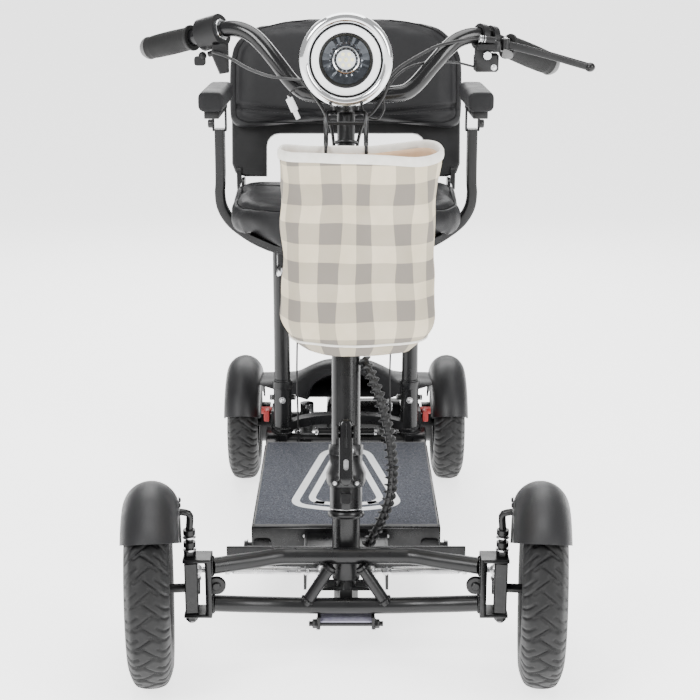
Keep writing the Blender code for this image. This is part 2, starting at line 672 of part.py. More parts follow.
def brake():
    """The brake perch with its switch housing, and the lever, on the rider's left."""
    bar_a, bar_b = Vector(BAR_LEFT[-4]), Vector(BAR_LEFT[-3])
    along = (bar_b - bar_a).normalized()
    rings = [pipe(bar_a + along * d, bar_a + along * (d + 0.009), 0.0180, TUBE_R + 0.0022, 16) for d in (0.006, 0.023)]
    bridge = block((0.181, 0.277, 0.8030), (0.207, 0.286, 0.8120), 0.001)
    case = block((0.178, 0.284, 0.773), (0.212, 0.304, 0.7985), 0.003)
    neck = block((0.1790, 0.284, 0.790), (0.1910, 0.300, 0.8075))
    barrel = rod((0.186, 0.2780, 0.8190), (0.205, 0.2800, 0.8165), 0.0050, 10)
    fork = block((0.202, 0.279, 0.8005), (0.2130, 0.2875, 0.8160), 0.001)
    socket = rod(HORN + Vector((0, 0.002, 0)), HORN + Vector((0, 0.010, 0)), 0.007, 12)
    piece("brake_perch", "handlebar", "black_plastic", [case, neck, *rings, bridge, barrel, fork, socket])
    bends = ((0, 0, 0), (0.030, 0.003, -0.007), (0.065, 0.008, -0.016), (0.098, 0.013, -0.0255), (0.1225, 0.017, -0.0325))
    route = [BRAKE_PIVOT + Vector(p) for p in bends]
    blade = sweep(smooth_path(route, 2), flat_section(0.011, 0.006), near=(0, 0, 1))
    piece("brake_lever", "brake", "black_powder_coat", [blade, ball(route[-1], 0.0075, 10), rod(BRAKE_PIVOT + Vector((0, 0, -0.008)), BRAKE_PIVOT + Vector((0, 0, 0.008)), 0.006, 10)])
    piece("horn_button", "horn", "red_plastic", rod(HORN + Vector((0, 0.0003, 0)), HORN - Vector((0, 0.0045, 0)), 0.0058, 14))


def basket():
    """A soft bag open at the top, hung from two wire hooks behind it."""
    hip = BASKET_BOTTOM + 0.055

    def front_outline(half, base, top):
        corner = [(half * sin(a), base + (hip - base) * (1 - cos(a))) for a in [pi / 2 * i / 5 for i in range(6)]]
        right = corner + [(half * 1.03, top)]
        return [(x, -z) for x, z in right + [(-x, z) for x, z in reversed(right) if x > 0]]

    shell = prism(front_outline(BASKET_HALF, BASKET_BOTTOM, BASKET_TOP), (BASKET_X, BASKET_FRONT, 0), BASKET_BACK - BASKET_FRONT)
    inside = BASKET_HALF - BASKET_WALL
    hollow = prism(front_outline(inside, BASKET_BOTTOM + BASKET_WALL, 0.75), (BASKET_X, BASKET_FRONT + BASKET_WALL, 0), BASKET_BACK - BASKET_FRONT - 2 * BASKET_WALL)
    piece("basket", "handlebar", "canvas", [shell], [hollow])
    hooks = []
    for x in (-0.026, 0.026):
        foot = Vector((x, BASKET_BACK + 0.0045, BASKET_TOP - 0.030))
        route = [foot, foot + Vector((0, 0, 0.030)), (x, 0.150, 0.713), (x, 0.205, 0.724), (x * 0.55, 0.2320, 0.7235)]
        hooks.append(tube(smooth_path(route, 2), 0.0030, 8, near=(1, 0, 0)))
    plate = block((-0.060, BASKET_BACK + 0.0008, BASKET_TOP - 0.045), (0.060, BASKET_BACK + 0.0040, BASKET_TOP - 0.012))
    band = pipe(column(0.640), column(0.650), 0.0180, UPPER_STEM_R + GAP, 16)
    piece("basket_hanger", "handlebar", "black_powder_coat", [plate, *hooks, band])


# ---------------------------------------------------------------- deck and rear frame


def deck():
    tray = block((-0.1375, DECK_FRONT, 0.060), (0.1375, DECK_BACK, 0.1312), 0.002)
    hollow = block((-0.131, DECK_FRONT + 0.006, 0.064), (0.131, DECK_BACK - 0.006, 0.150))
    piece("deck_tray", "scooter", "black_powder_coat", [tray], [hollow])
    piece("deck_mat", "scooter", "deck_grit", block((-DECK_HALF, 0.191, 0.1316), (DECK_HALF, 0.543, DECK_TOP), 0.0008))
    piece("battery_pack", "scooter", "black_plastic", block((-0.120, 0.205, 0.0645), (0.120, 0.530, 0.1260), 0.004))


SOCKET_TOP = 0.226


def rear_frame():
    """Two rails back to the axle, a cross tube, the arched bar and the sockets of the seat posts."""
    y = POST_Y
    rail = block((0.060, DECK_BACK + GAP, 0.098), (0.085, 0.7215, 0.122), 0.001)
    side_rail = block((0.116, DECK_BACK + GAP, 0.106), (0.137, y - 0.010, 0.128), 0.001)
    corner = block((0.102, y - 0.020, 0.106), (0.139, y + 0.022, 0.1335), 0.001)
    cross = rod((-0.125, y, 0.120), (0.125, y, 0.120), 0.0095)
    half = [(0, y, 0.1585), (0.040, y, 0.1575), (0.075, y, 0.152), (0.118, y, 0.1385)]
    arch = sweep(smooth_path(mirrored(half), 2), flat_section(0.022, 0.015), near=(0, 1, 0))
    bore = POST_R + 0.0007
    ring = SOCKET_TOP - 0.013
    profile = [(0, 0.125), (0.0155, 0.125), (0.0155, ring), (0.0170, ring + 0.001), (0.0170, SOCKET_TOP), (0, SOCKET_TOP)]
    socket = lathe(profile, (POST_X, y, 0), (0, 0, 1), 16)
    bolt = rod((POST_X - 0.022, y, 0.195), (POST_X + 0.022, y, 0.195), 0.0050, 8)
    bracket = block((0.1255, y + 0.010, 0.112), (0.1300, y + 0.056, 0.166))
    left = [rail, side_rail, corner, socket, bolt, bracket]
    bores = [rod((s * POST_X, y, 0.140), (s * POST_X, y, 0.30), bore, 16) for s in (-1, 1)]
    piece("rear_frame", "scooter", "black_powder_coat", [cross, arch, *left, *[reflect(s) for s in left]], bores)


def rear_axle():
    """The transaxle: its beam, the spindles, the motor with its gearbox, and a brake housing at each end."""
    beam = rod((-0.150, WHEELBASE, REAR_WHEEL_R), (0.150, WHEELBASE, REAR_WHEEL_R), 0.0180, 16)
    spindle = rod((-0.2075, WHEELBASE, REAR_WHEEL_R), (0.2075, WHEELBASE, REAR_WHEEL_R), 0.0080)
    motor = rod((-0.010, WHEELBASE + 0.030, 0.100), (0.100, WHEELBASE + 0.030, 0.100), 0.038, 20)
    gearbox = block((-0.035, WHEELBASE - 0.030, 0.058), (0.000, WHEELBASE + 0.070, 0.146), 0.006)
    drums = [rod((s * 0.138, WHEELBASE, REAR_WHEEL_R), (s * 0.154, WHEELBASE, REAR_WHEEL_R), 0.036, 20) for s in (-1, 1)]
    piece("rear_axle", "scooter", "black_powder_coat", [beam, spindle, motor, gearbox, *drums])


def axle_buffers():
    """A rubber buffer with a zinc cap on each rail, in front of the axle."""

    def buffer():
        return [rod((0.070, 0.680, 0.1225), (0.070, 0.680, 0.140), 0.0105, 14), rod((0.070, 0.680, 0.139), (0.070, 0.680, 0.160), 0.0125, 14)]

    pair("axle_buffer", "scooter", "zinc", buffer)


COVER_FRONT, COVER_BACK, COVER_LOW, COVER_SKIN = 0.690, 0.800, 0.1625, 0.003
REAR_FENDER_WIDTH, REAR_FENDER_R = 0.0640, REAR_WHEEL_R + 0.018


def rear_cover():
    """One moulding: a bridge over the axle with a raised dome, and a fender over each wheel."""

    def silhouette(inset, low):
        outer = REAR_WHEEL_X - REAR_FENDER_WIDTH / 2 + 0.002
        dome = [(0.086, 0.2005), (0.079, 0.2085), (0.068, 0.2165), (0.050, 0.2250), (0.026, 0.2310), (0.008, 0.2325)]
        right = [(outer - inset, low), (outer - inset, 0.1955 - inset), (0.098, 0.1965 - inset)]
        right += [(x * (1 - 10 * inset), z - inset) for x, z in dome]
        return [(x, -z) for x, z in right + [(-x, z) for x, z in reversed(right)]]

    def falling(shape):
        """The moulding loses height towards the back."""
        for v in shape.verts:
            if v.co.y > (COVER_FRONT + COVER_BACK) / 2 and v.co.z > COVER_LOW:
                v.co.z = COVER_LOW + (v.co.z - COVER_LOW) * 0.6
        return shape

    depth = COVER_BACK - COVER_FRONT
    hood = falling(prism(silhouette(0, COVER_LOW), (0, COVER_FRONT, 0), depth))
    hollow = prism(silhouette(COVER_SKIN, 0.130), (0, COVER_FRONT + COVER_SKIN, 0), depth - 2 * COVER_SKIN)
    falling(hollow)
    arch = [(0.070 * cos(a), -0.163 - 0.053 * sin(a)) for a in [pi * i / 10 for i in range(-1, 12)]]
    mouth = prism(arch, (0, 0.60, 0), 0.11)
    path = arc_path(REAR_WHEEL_X, WHEELBASE, REAR_WHEEL_R, REAR_FENDER_R, -67, 75, 11)
    fender = sweep(path, fender_section(REAR_FENDER_WIDTH, 0.004), near=(1, 0, 0))
    piece("rear_cover", "scooter", "black_plastic", [hood, fender, reflect(fender)], [hollow, mouth])


def freewheel_levers():
    def lever():
        x, y, z = FREEWHEEL_PIVOT
        hub = rod((x - 0.0085, y, z), (x + 0.010, y, z), 0.0065, 10)
        handle = block((x - 0.005, y - 0.022, z - 0.014), (x + 0.005, y - 0.002, z + 0.005), 0.001)
        return [hub, handle]

    pair("freewheel_lever", "freewheel", "red_plastic", lever)


# ---------------------------------------------------------------- seat


def seat_outline(inset):
    """The cushion's plan: square at the back, widely rounded at the front."""
    half, front, back = SEAT_HALF - inset, SEAT_FRONT + inset, SEAT_BACK - inset
    reach, depth, corner = 0.118 - inset / 2, 0.135 - inset / 2, 0.025
    steps = [pi / 2 * i / 6 for i in range(7)]
    right = [(half - reach + reach * sin(a), front + depth * (1 - cos(a))) for a in steps]
    right += [(half - corner + corner * cos(a), back - corner + corner * sin(a)) for a in steps[::2]]
    return right + [(-x, y) for x, y in reversed(right)]


def underside(x, drop=0.0):
    """The height of the cushion's curved underside, or of a line that far below it."""
    return SEAT_BOTTOM + 0.062 * (abs(x) / SEAT_HALF) ** 2.6 - drop


def seat():
    cushion = prism(seat_outline(0), (0, 0, SEAT_BOTTOM), SEAT_TOP - SEAT_BOTTOM, (1, 0, 0), (0, 0, 1), bevel=0.010, rows=2)
    spread = [SEAT_HALF * i / 8 for i in range(-8, 9)]
    below = [(x * 1.02, -underside(x)) for x in spread] + [(0.21, -0.45), (-0.21, -0.45)]
    scoop = prism(below, (0, 0.30, 0), 0.60)
    piece("seat_cushion", "seat", "black_vinyl", cushion, [scoop])
    width = [0.150 * i / 4 for i in range(-4, 5)]
    strip = [(x, -underside(x, 0.002)) for x in width] + [(x, -underside(x, 0.010)) for x in reversed(width)]
    pan = prism(strip, (0, 0.455, 0), 0.268)
    posts = [rod((s * POST_X, POST_Y, 0.145), (s * POST_X, POST_Y, 0.4885), POST_R, 16) for s in (-1, 1)]
    ear = prism(rounded(0.034, 0.092, 0.010, (0.747, 0.508)), (0.1770, 0, 0), 0.005, (0, 1, 0), (1, 0, 0))
    foot = block((0.140, 0.7245, 0.4700), (0.1800, 0.762, 0.4760))
    heel = block((0.136, 0.700, 0.4700), (0.149, 0.735, 0.5015))
    lug = block((-0.112, 0.456, 0.446), (-0.1085, 0.484, 0.4880))
    left = [ear, foot, heel]
    piece("seat_frame", "seat", "black_powder_coat", [pan, *posts, *left, *[reflect(s) for s in left], lug])
    x, y, z = SEAT_LATCH_PIVOT
    handle = block((x - 0.0070, y - 0.030, z - 0.005), (x - 0.0005, y + 0.010, z + 0.006), 0.002)
    boss = rod((x - 0.0070, y, z), (x + 0.004, y, z), 0.007, 12)
    piece("seat_latch", "seat_latch", "zinc", [handle, boss])


def armrests():
    y = ARM_PIVOT.y
    half = [(0, y, 0.4560), (0.100, y, 0.4620), (0.140, y, 0.4740), (0.172, y, 0.4935), (0.1915, y, 0.5115),
            (0.2030, y, 0.5325), (0.2060, y, 0.555), (0.2045, y, 0.580), (0.204, y, 0.660)]
    bar = sweep(smooth_path(mirrored(half), 2), flat_section(0.024, 0.0160), near=(0, 1, 0))
    piece("armrest_frame", "seat", "black_powder_coat", bar)

    def pad():
        x, y, z = ARM_PIVOT
        top = prism(rounded(0.040, 0.030, 0.007, (x + 0.002, -0.714)), (0, 0.455, 0), 0.190, bevel=0.003)
        under = block((x - 0.0095, 0.465, 0.6880), (x + 0.0135, 0.620, 0.7010))
        cheeks = [block((x + a, y - 0.010, z - 0.012), (x + a + 0.0022, y + 0.010, 0.700)) for a in (-0.0112, 0.0090)]
        knob = rod((x + 0.010, y, z), (x + 0.019, y, z), 0.007, 10)
        return [top, under, *cheeks, knob]

    pair("armrest", "armrest", "black_vinyl", pad)


def backrest():
    front = Vector((0, -cos(RECLINE), sin(RECLINE)))

    def panel(outline, start, depth, bevel=0.0, rows=1):
        """A plate in the backrest's plane: outline in (x, height above the hinge), pushed forwards."""
        return prism(outline, BACKREST_HINGE + front * start, depth, (1, 0, 0), front, bevel, rows)

    def shouldered(half, low, high):
        """A panel's outline: round bottom corners, straight sides, and sloping shoulders to a slightly arched top."""
        right = [(half - 0.022, low), (half - 0.006, low + 0.006), (half, low + 0.022), (half, high - 0.083)]
        drops = ((0.006, 0.054), (0.017, 0.038), (0.036, 0.023), (0.060, 0.013), (0.090, 0.006), (0.135, 0.001))
        right += [(half - inwards, high - drop) for inwards, drop in drops]
        return right + [(-x, h) for x, h in reversed(right)]

    board = panel(shouldered(0.2000, 0.0150, 0.2890), -0.008, 0.016, 0.003)
    gap = panel(rounded(0.278, 0.180, 0.022, (0, 0.0)), -0.03, 0.06)
    lug_outline = rounded(0.016, 0.040, 0.007, (BACKREST_HINGE.y, BACKREST_HINGE.z + 0.012))
    lug = prism(lug_outline, (0.1835, 0, 0), 0.008, (0, 1, 0), (1, 0, 0))
    piece("backrest_shell", "backrest", "black_plastic", [board, lug, reflect(lug)], [gap])
    pad = panel(shouldered(0.2040, 0.0940, 0.2930), 0.0085, 0.042, 0.012, 2)
    piece("backrest_cushion", "backrest", "black_vinyl", pad)


# ---------------------------------------------------------------- cables


def cable(name, body_name, points, radius, steps=4):
    """A cord as a POLY curve read off a smooth line through its own points."""
    curve = bpy.data.curves.new(name, "CURVE")
    curve.dimensions = "3D"
    curve.bevel_depth = radius
    curve.bevel_resolution = 2
    curve.use_fill_caps = True
    path = smooth_path(points, steps)
    spline = curve.splines.new("POLY")
    spline.points.add(len(path) - 1)
    at = place_of(body_name)
    for knot, point in zip(spline.points, path):
        knot.co = (*(point - at), 1)
    curve.materials.append(FINISHES["black_plastic"])
    obj = bpy.data.objects.new(name, curve)
    obj.parent = BODIES[body_name]
    bpy.context.collection.objects.link(obj)


HARNESS_CLIP = column(0.118, back=0.012, side=0.052)
UPPER_HARNESS = [column(0.306, -0.006, 0.0245), column(0.285, -0.010, 0.030), column(0.250, -0.010, 0.038), column(0.205, -0.006, 0.046), column(0.160, 0.002, 0.052)]
LOWER_HARNESS = [column(0.158, 0.0025, 0.0523), HARNESS_CLIP, column(0.085, 0.020, 0.047), column(0.058, 0.028, 0.036), column(0.047, 0.036, 0.030)]
THROTTLE_CABLE = [
    (-0.1845, 0.2820, 0.8010),
    (-0.1620, 0.2700, 0.7944),
    (-0.1330, 0.2550, 0.7803),
    (-0.1050, 0.2450, 0.7713),
    (-0.0800, 0.2380, 0.7683),
    (-0.0600, 0.2320, 0.7667),
]
BRAKE_CABLE = [
    (0.1845, 0.2770, 0.8192),
    (0.1660, 0.2620, 0.8190),
    (0.1270, 0.2560, 0.8111),
    (0.0990, 0.2480, 0.7982),
    (0.0740, 0.2400, 0.7840),
    (0.0580, 0.2340, 0.7699),
]


def cables():
    cable("stem_harness", "stem", UPPER_HARNESS, 0.0055)
    cable("column_harness", "steering", LOWER_HARNESS, 0.0055)
    cable("throttle_cable", "handlebar", THROTTLE_CABLE, 0.0030)
    cable("brake_cable", "handlebar", BRAKE_CABLE, 0.0028)


for build in (
    upper_front_tube,
    lower_front_tube,
    kingpin_brackets,
    head_tube,
    front_carrier,
    skid_plate,
    wheels,
    knuckles,
    front_fenders,
    tie_rods,
    steering_shaft,
    stem_hinge,
    stem_lower_tube,
    latch_lever,
    stem_upper_tube,
    handlebar,
    grips,
    headlight,
    throttle,
    brake,
    basket,
    deck,
    rear_frame,
    rear_axle,
    axle_buffers,
    rear_cover,
    freewheel_levers,
    seat,
    armrests,
    backrest,
    cables,
):
    build()
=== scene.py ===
import json
from math import cos, pi, radians, sin

import bmesh
import bpy
import numpy as np
from mathutils import Matrix, Vector, noise
from mathutils.bvhtree import BVHTree

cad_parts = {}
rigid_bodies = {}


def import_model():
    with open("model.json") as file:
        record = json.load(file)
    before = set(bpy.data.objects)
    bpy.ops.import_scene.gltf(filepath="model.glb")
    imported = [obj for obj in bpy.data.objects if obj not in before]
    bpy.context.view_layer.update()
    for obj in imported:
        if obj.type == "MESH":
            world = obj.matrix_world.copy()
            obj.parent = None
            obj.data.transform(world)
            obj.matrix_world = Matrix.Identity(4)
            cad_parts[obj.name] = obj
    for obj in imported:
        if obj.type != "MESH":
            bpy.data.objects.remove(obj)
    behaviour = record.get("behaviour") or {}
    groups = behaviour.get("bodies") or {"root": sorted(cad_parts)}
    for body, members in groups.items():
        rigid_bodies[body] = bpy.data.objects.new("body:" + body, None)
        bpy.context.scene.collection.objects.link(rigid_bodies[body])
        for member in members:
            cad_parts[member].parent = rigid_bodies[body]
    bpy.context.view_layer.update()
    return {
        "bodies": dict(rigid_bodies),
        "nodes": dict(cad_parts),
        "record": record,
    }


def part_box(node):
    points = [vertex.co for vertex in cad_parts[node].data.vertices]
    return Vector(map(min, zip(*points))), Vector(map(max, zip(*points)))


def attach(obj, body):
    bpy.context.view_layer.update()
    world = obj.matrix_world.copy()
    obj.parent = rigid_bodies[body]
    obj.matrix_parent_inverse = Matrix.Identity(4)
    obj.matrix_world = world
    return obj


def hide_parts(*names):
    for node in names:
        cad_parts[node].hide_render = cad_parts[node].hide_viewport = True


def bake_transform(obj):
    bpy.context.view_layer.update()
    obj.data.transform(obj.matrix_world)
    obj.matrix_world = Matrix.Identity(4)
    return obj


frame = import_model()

# Everything below is written with x = 0 in the middle of the scooter and y = 0 at its front axle.
mat_low, mat_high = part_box("deck_mat")
ORIGIN = Vector(((mat_low.x + mat_high.x) / 2, mat_low.y - 0.191, 0))

TOE_IN = radians(6)
KINGPIN_X = 0.2045
FRONT_WHEEL_X, FRONT_WHEEL_R = 0.258, 0.1275
REAR_WHEEL_X, REAR_WHEEL_Y, REAR_WHEEL_R = 0.1847, 0.74, 0.1045
TUBE_R = 0.011
RAKE = radians(16)
COLUMN_FOOT = Vector((0, 0.064, 0.105))
UP = Vector((0, sin(RAKE), cos(RAKE)))
BACK = Vector((0, cos(RAKE), -sin(RAKE)))
SIDE = Vector((1, 0, 0))
HEADLIGHT = Vector((0, 0.208, 0.795))
DECK_TOP = 0.135
SEAT_HALF, SEAT_FRONT, SEAT_BACK, SEAT_BOTTOM, SEAT_TOP = 0.1945, 0.418, 0.724, 0.48, 0.552
POST_X, POST_Y = 0.1095, 0.605
ARM_X, ARM_Y, ARM_PIVOT_Z = 0.204, 0.5775, 0.668
RECLINE = radians(13)
BACKREST_HINGE = Vector((0, 0.752, 0.54))
BAR_S = 0.666  # how far up the column the handlebar is clamped
VOXEL = 0.005


def column(s, back=0.0, side=0.0):
    return COLUMN_FOOT + UP * s + BACK * back + SIDE * side


# ---------------------------------------------------------------- materials


class Nodes:
    """A short way to write shader nodes."""

    def __init__(self, name):
        self.material = bpy.data.materials.new(name)
        self.material.use_nodes = True
        self.tree = self.material.node_tree
        self.shader = self.tree.nodes["Principled BSDF"]
        self.place = self.node("ShaderNodeTexCoord").outputs["Object"]

    def node(self, kind, **settings):
        made = self.tree.nodes.new(kind)
        for key, value in settings.items():
            setattr(made, key, value)
        return made

    def link(self, source, target):
        self.tree.links.new(source, target)

    def put(self, socket, value):
        if isinstance(value, bpy.types.NodeSocket):
            self.link(value, socket)
        elif isinstance(value, tuple) and len(value) == 3 and socket.type == "RGBA":
            socket.default_value = (*value, 1)
        else:
            socket.default_value = value

    def noise(self, scale, detail=3.0, roughness=0.55, where=None, distortion=0.0):
        made = self.node("ShaderNodeTexNoise")
        self.put(made.inputs["Vector"], where or self.place)
        made.inputs["Scale"].default_value = scale
        made.inputs["Detail"].default_value = detail
        made.inputs["Roughness"].default_value = roughness
        made.inputs["Distortion"].default_value = distortion
        return made.outputs["Fac"]

    def cells(self, scale, feature="F1"):
        made = self.node("ShaderNodeTexVoronoi", feature=feature)
        self.put(made.inputs["Vector"], self.place)
        made.inputs["Scale"].default_value = scale
        return made.outputs["Distance"]

    def ramp(self, value, low, high, start=0.0, end=1.0):
        made = self.node("ShaderNodeMapRange")
        self.put(made.inputs["Value"], value)
        for key, number in (("From Min", low), ("From Max", high), ("To Min", start), ("To Max", end)):
            made.inputs[key].default_value = number
        return made.outputs["Result"]

    def math(self, operation, a, b=0.0):
        made = self.node("ShaderNodeMath", operation=operation)
        self.put(made.inputs[0], a)
        self.put(made.inputs[1], b)
        return made.outputs[0]

    def mix(self, factor, a, b):
        made = self.node("ShaderNodeMix", data_type="RGBA")
        self.put(made.inputs[0], factor)
        self.put(made.inputs[6], a)
        self.put(made.inputs[7], b)
        return made.outputs[2]

    def bump(self, height, strength, distance=0.001, below=None):
        made = self.node("ShaderNodeBump")
        made.inputs["Strength"].default_value = strength
        made.inputs["Distance"].default_value = distance
        self.put(made.inputs["Height"], height)
        if below:
            self.link(below, made.inputs["Normal"])
        return made.outputs["Normal"]

    def finish(self, colour, roughness, normal=None, metallic=0.0, **fixed):
        self.put(self.shader.inputs["Base Color"], colour)
        self.put(self.shader.inputs["Roughness"], roughness)
        self.shader.inputs["Metallic"].default_value = metallic
        if normal:
            self.link(normal, self.shader.inputs["Normal"])
        for key, value in fixed.items():
            self.shader.inputs[key.replace("_", " ")].default_value = value
        return self.material


def surface(name, dark, light, rough, metallic=0.0, patch=14, grain=1500, bump=0.15, worn=None, **fixed):
    """A moulded, painted or plated surface: cloudy colour, uneven gloss, fine grain, worn edges."""
    n = Nodes(name)
    colour = n.mix(n.ramp(n.noise(patch, 4), 0.3, 0.7), dark, light)
    if worn:
        edge = n.ramp(n.node("ShaderNodeNewGeometry").outputs["Pointiness"], 0.58, 0.68)
        chips = n.math("MULTIPLY", edge, n.ramp(n.noise(160, 3), 0.42, 0.62, 0.0, 0.5))
        colour = n.mix(chips, colour, worn)
    gloss = n.ramp(n.noise(patch * 2.3, 5), 0.3, 0.7, *rough)
    fine = n.bump(n.noise(grain, 2), bump, 0.0004)
    return n.finish(colour, gloss, fine, metallic, **fixed)


COAT = surface(
    "powder_coat", (0.004, 0.004, 0.0043), (0.0075, 0.0075, 0.008), (0.24, 0.38),
    worn=(0.03, 0.03, 0.032), bump=0.1, Specular_IOR_Level=0.36
)
GLOSS = surface(
    "gloss_paint", (0.0035, 0.0035, 0.0038), (0.006, 0.006, 0.0065), (0.14, 0.24), bump=0.04,
    Specular_IOR_Level=0.45
)
PLASTIC = surface(
    "moulded_plastic", (0.0085, 0.0085, 0.0095), (0.0125, 0.0125, 0.0135), (0.36, 0.5), grain=2200,
    bump=0.3, worn=(0.035, 0.035, 0.037), Specular_IOR_Level=0.35
)
DARK_PLASTIC = surface(
    "dark_plastic", (0.0045, 0.0045, 0.005), (0.008, 0.008, 0.0085), (0.32, 0.5), grain=1800,
    bump=0.25, Specular_IOR_Level=0.32
)
RUBBER = surface(
    "tyre_rubber", (0.0055, 0.0055, 0.006), (0.0105, 0.0105, 0.0105), (0.46, 0.64), patch=30,
    grain=1200, bump=0.35, Specular_IOR_Level=0.32
)
RED_RUBBER = surface(
    "tyre_line", (0.2, 0.02, 0.015), (0.28, 0.035, 0.025), (0.5, 0.7), patch=60, grain=1200
)
GRIP = surface(
    "grip_rubber", (0.0055, 0.0055, 0.0055), (0.0095, 0.0095, 0.0095), (0.55, 0.72), grain=1500,
    bump=0.4, Specular_IOR_Level=0.3
)
CAP_GREY = surface("cap_grey", (0.1, 0.1, 0.1), (0.14, 0.14, 0.14), (0.45, 0.6), bump=0.2)
ZINC = surface(
    "zinc_plate", (0.5, 0.5, 0.51), (0.68, 0.68, 0.68), (0.22, 0.42), 1.0, patch=60, grain=900,
    bump=0.12
)
CHROME = surface(
    "chrome", (0.72, 0.73, 0.74), (0.82, 0.83, 0.84), (0.04, 0.12), 1.0, patch=20, grain=400,
    bump=0.02
)
PIPING = surface(
    "piping", (0.005, 0.005, 0.0055), (0.0085, 0.0085, 0.009), (0.62, 0.78), grain=1300, bump=0.3,
    Specular_IOR_Level=0.15
)
RED = surface("red_plastic", (0.26, 0.008, 0.007), (0.36, 0.015, 0.012), (0.3, 0.45), bump=0.2)
LILAC = surface(
    "lilac_paint", (0.2, 0.19, 0.26), (0.27, 0.26, 0.34), (0.3, 0.48), bump=0.2, worn=(0.4, 0.4, 0.45)
)
WHITE_PAINT = surface(
    "white_paint", (0.7, 0.71, 0.72), (0.84, 0.85, 0.86), (0.45, 0.65), grain=1100, bump=0.5
)
WRAP = surface(
    "cable_wrap", (0.005, 0.005, 0.0055), (0.011, 0.011, 0.0115), (0.28, 0.45), grain=1600, bump=0.2,
    Specular_IOR_Level=0.4
)
TAPE = surface(
    "band_tape", (0.68, 0.66, 0.6), (0.8, 0.78, 0.73), (0.7, 0.85), patch=80, grain=1500, bump=0.5
)


def vinyl(name, dark, light):
    """Leathercloth: a net of fine creases over a soft unevenness."""
    n = Nodes(name)
    colour = n.mix(n.ramp(n.noise(9, 4), 0.3, 0.7), dark, light)
    crease = n.ramp(n.cells(520, "DISTANCE_TO_EDGE"), 0.0, 0.1)
    fine = n.bump(crease, 0.22, 0.0005, n.bump(n.noise(48, 3), 0.18, 0.002))
    return n.finish(colour, n.ramp(n.noise(26, 4), 0.3, 0.7, 0.46, 0.6), fine, Specular_IOR_Level=0.26)


VINYL = vinyl("black_vinyl", (0.0055, 0.0055, 0.0062), (0.009, 0.009, 0.01))


def grit():
    """Griptape: blue-grey granules with light and dark specks."""
    n = Nodes("deck_grit")
    base = n.mix(n.ramp(n.noise(340, 3, 0.7), 0.38, 0.62), (0.022, 0.025, 0.034), (0.06, 0.065, 0.084))
    specks = n.ramp(n.noise(900, 1), 0.66, 0.72)
    colour = n.mix(specks, base, (0.24, 0.25, 0.29))
    colour = n.mix(n.ramp(n.noise(5, 3), 0.35, 0.75, 0.0, 0.25), colour, (0.03, 0.033, 0.043))
    return n.finish(
        colour, n.ramp(n.noise(300, 2), 0.3, 0.7, 0.6, 0.9), n.bump(n.noise(620, 3, 0.7), 0.8, 0.0009)
    )


GRIT = grit()


def checked_canvas():
    """Plain two-colour gingham: cream canvas with even taupe bands both ways, and its weave."""
    n = Nodes("checked_canvas")
    parts = n.node("ShaderNodeSeparateXYZ")
    warp = n.node("ShaderNodeVectorMath", operation="ADD")
    n.link(n.place, warp.inputs[0])
    drift = n.node("ShaderNodeTexNoise")
    n.link(n.place, drift.inputs["Vector"])
    drift.inputs["Scale"].default_value = 9
    small = n.node("ShaderNodeVectorMath", operation="SCALE")
    n.link(drift.outputs["Color"], small.inputs[0])
    small.inputs["Scale"].default_value = 0.01
    n.link(small.outputs[0], warp.inputs[1])
    n.link(warp.outputs[0], parts.inputs[0])
    off_middle = n.math("MULTIPLY", n.math("SUBTRACT", parts.outputs["X"], ORIGIN.x + 0.0145), 60)
    turn = n.math("MAXIMUM", n.math("MINIMUM", off_middle, 1), -1)
    depth = n.math("MULTIPLY", n.math("SUBTRACT", parts.outputs["Y"], ORIGIN.y + 0.01), 0.9)
    across = n.math("ADD", parts.outputs["X"], n.math("MULTIPLY", depth, turn))
    height = parts.outputs["Z"]

    def band(axis, period, shift, width):
        place = n.math("FRACT", n.math("ADD", n.math("DIVIDE", axis, period), shift))
        return n.ramp(
            n.math("ABSOLUTE", n.math("SUBTRACT", place, 0.5)), width / period / 2, width / period / 2
            + 0.012, 1, 0
        )

    colour = n.mix(n.ramp(n.noise(30, 3), 0.3, 0.7), (0.68, 0.59, 0.42), (0.76, 0.67, 0.5))
    bands = (across, 0.055, 0.35), (height, 0.049, 0.2)
    woven = [n.mix(band(*one, 0.026), colour, (0.22, 0.2, 0.175)) for one in bands]
    colour = n.mix(0.5, woven[0], woven[1])
    threads = [n.math("SINE", n.math("MULTIPLY", axis, 2 * pi / 0.0011)) for axis in (across, height)]
    weave = n.math("MULTIPLY", threads[0], threads[1])
    colour = n.mix(n.ramp(weave, -1, 1, 0.0, 0.16), colour, (0.25, 0.2, 0.14))
    return n.finish(
        colour, n.ramp(n.noise(60, 3), 0.3, 0.7, 0.72, 0.9), n.bump(weave, 0.45, 0.0005),
        Specular_IOR_Level=0.2
    )


CANVAS = checked_canvas()
LINING = surface(
    "lining", (0.52, 0.34, 0.2), (0.62, 0.43, 0.28), (0.7, 0.85), patch=40, grain=1500, bump=0.4
)


def glow(name, colour, light, strength, rough=(0.2, 0.35)):
    """A lamp part that shines a little."""
    made = surface(name, colour, light, rough, patch=50, grain=500, bump=0.05)
    shader = made.node_tree.nodes["Principled BSDF"]
    shader.inputs["Emission Color"].default_value = (*light, 1)
    shader.inputs["Emission Strength"].default_value = strength
    return made


BOWL = surface(
    "lamp_bowl_gloss", (0.03, 0.034, 0.04), (0.06, 0.066, 0.076), (0.08, 0.16), 0.6, patch=90,
    grain=300, bump=0.05
)
HALO = glow("halo_ring", (0.8, 0.82, 0.84), (0.92, 0.93, 0.95), 0.35)
LED = glow("led_chip", (0.75, 0.7, 0.3), (0.95, 0.93, 0.6), 0.5)
MIRROR = surface(
    "reflector", (0.55, 0.57, 0.58), (0.72, 0.74, 0.75), (0.06, 0.16), 1.0, patch=90, grain=300,
    bump=0.25
)


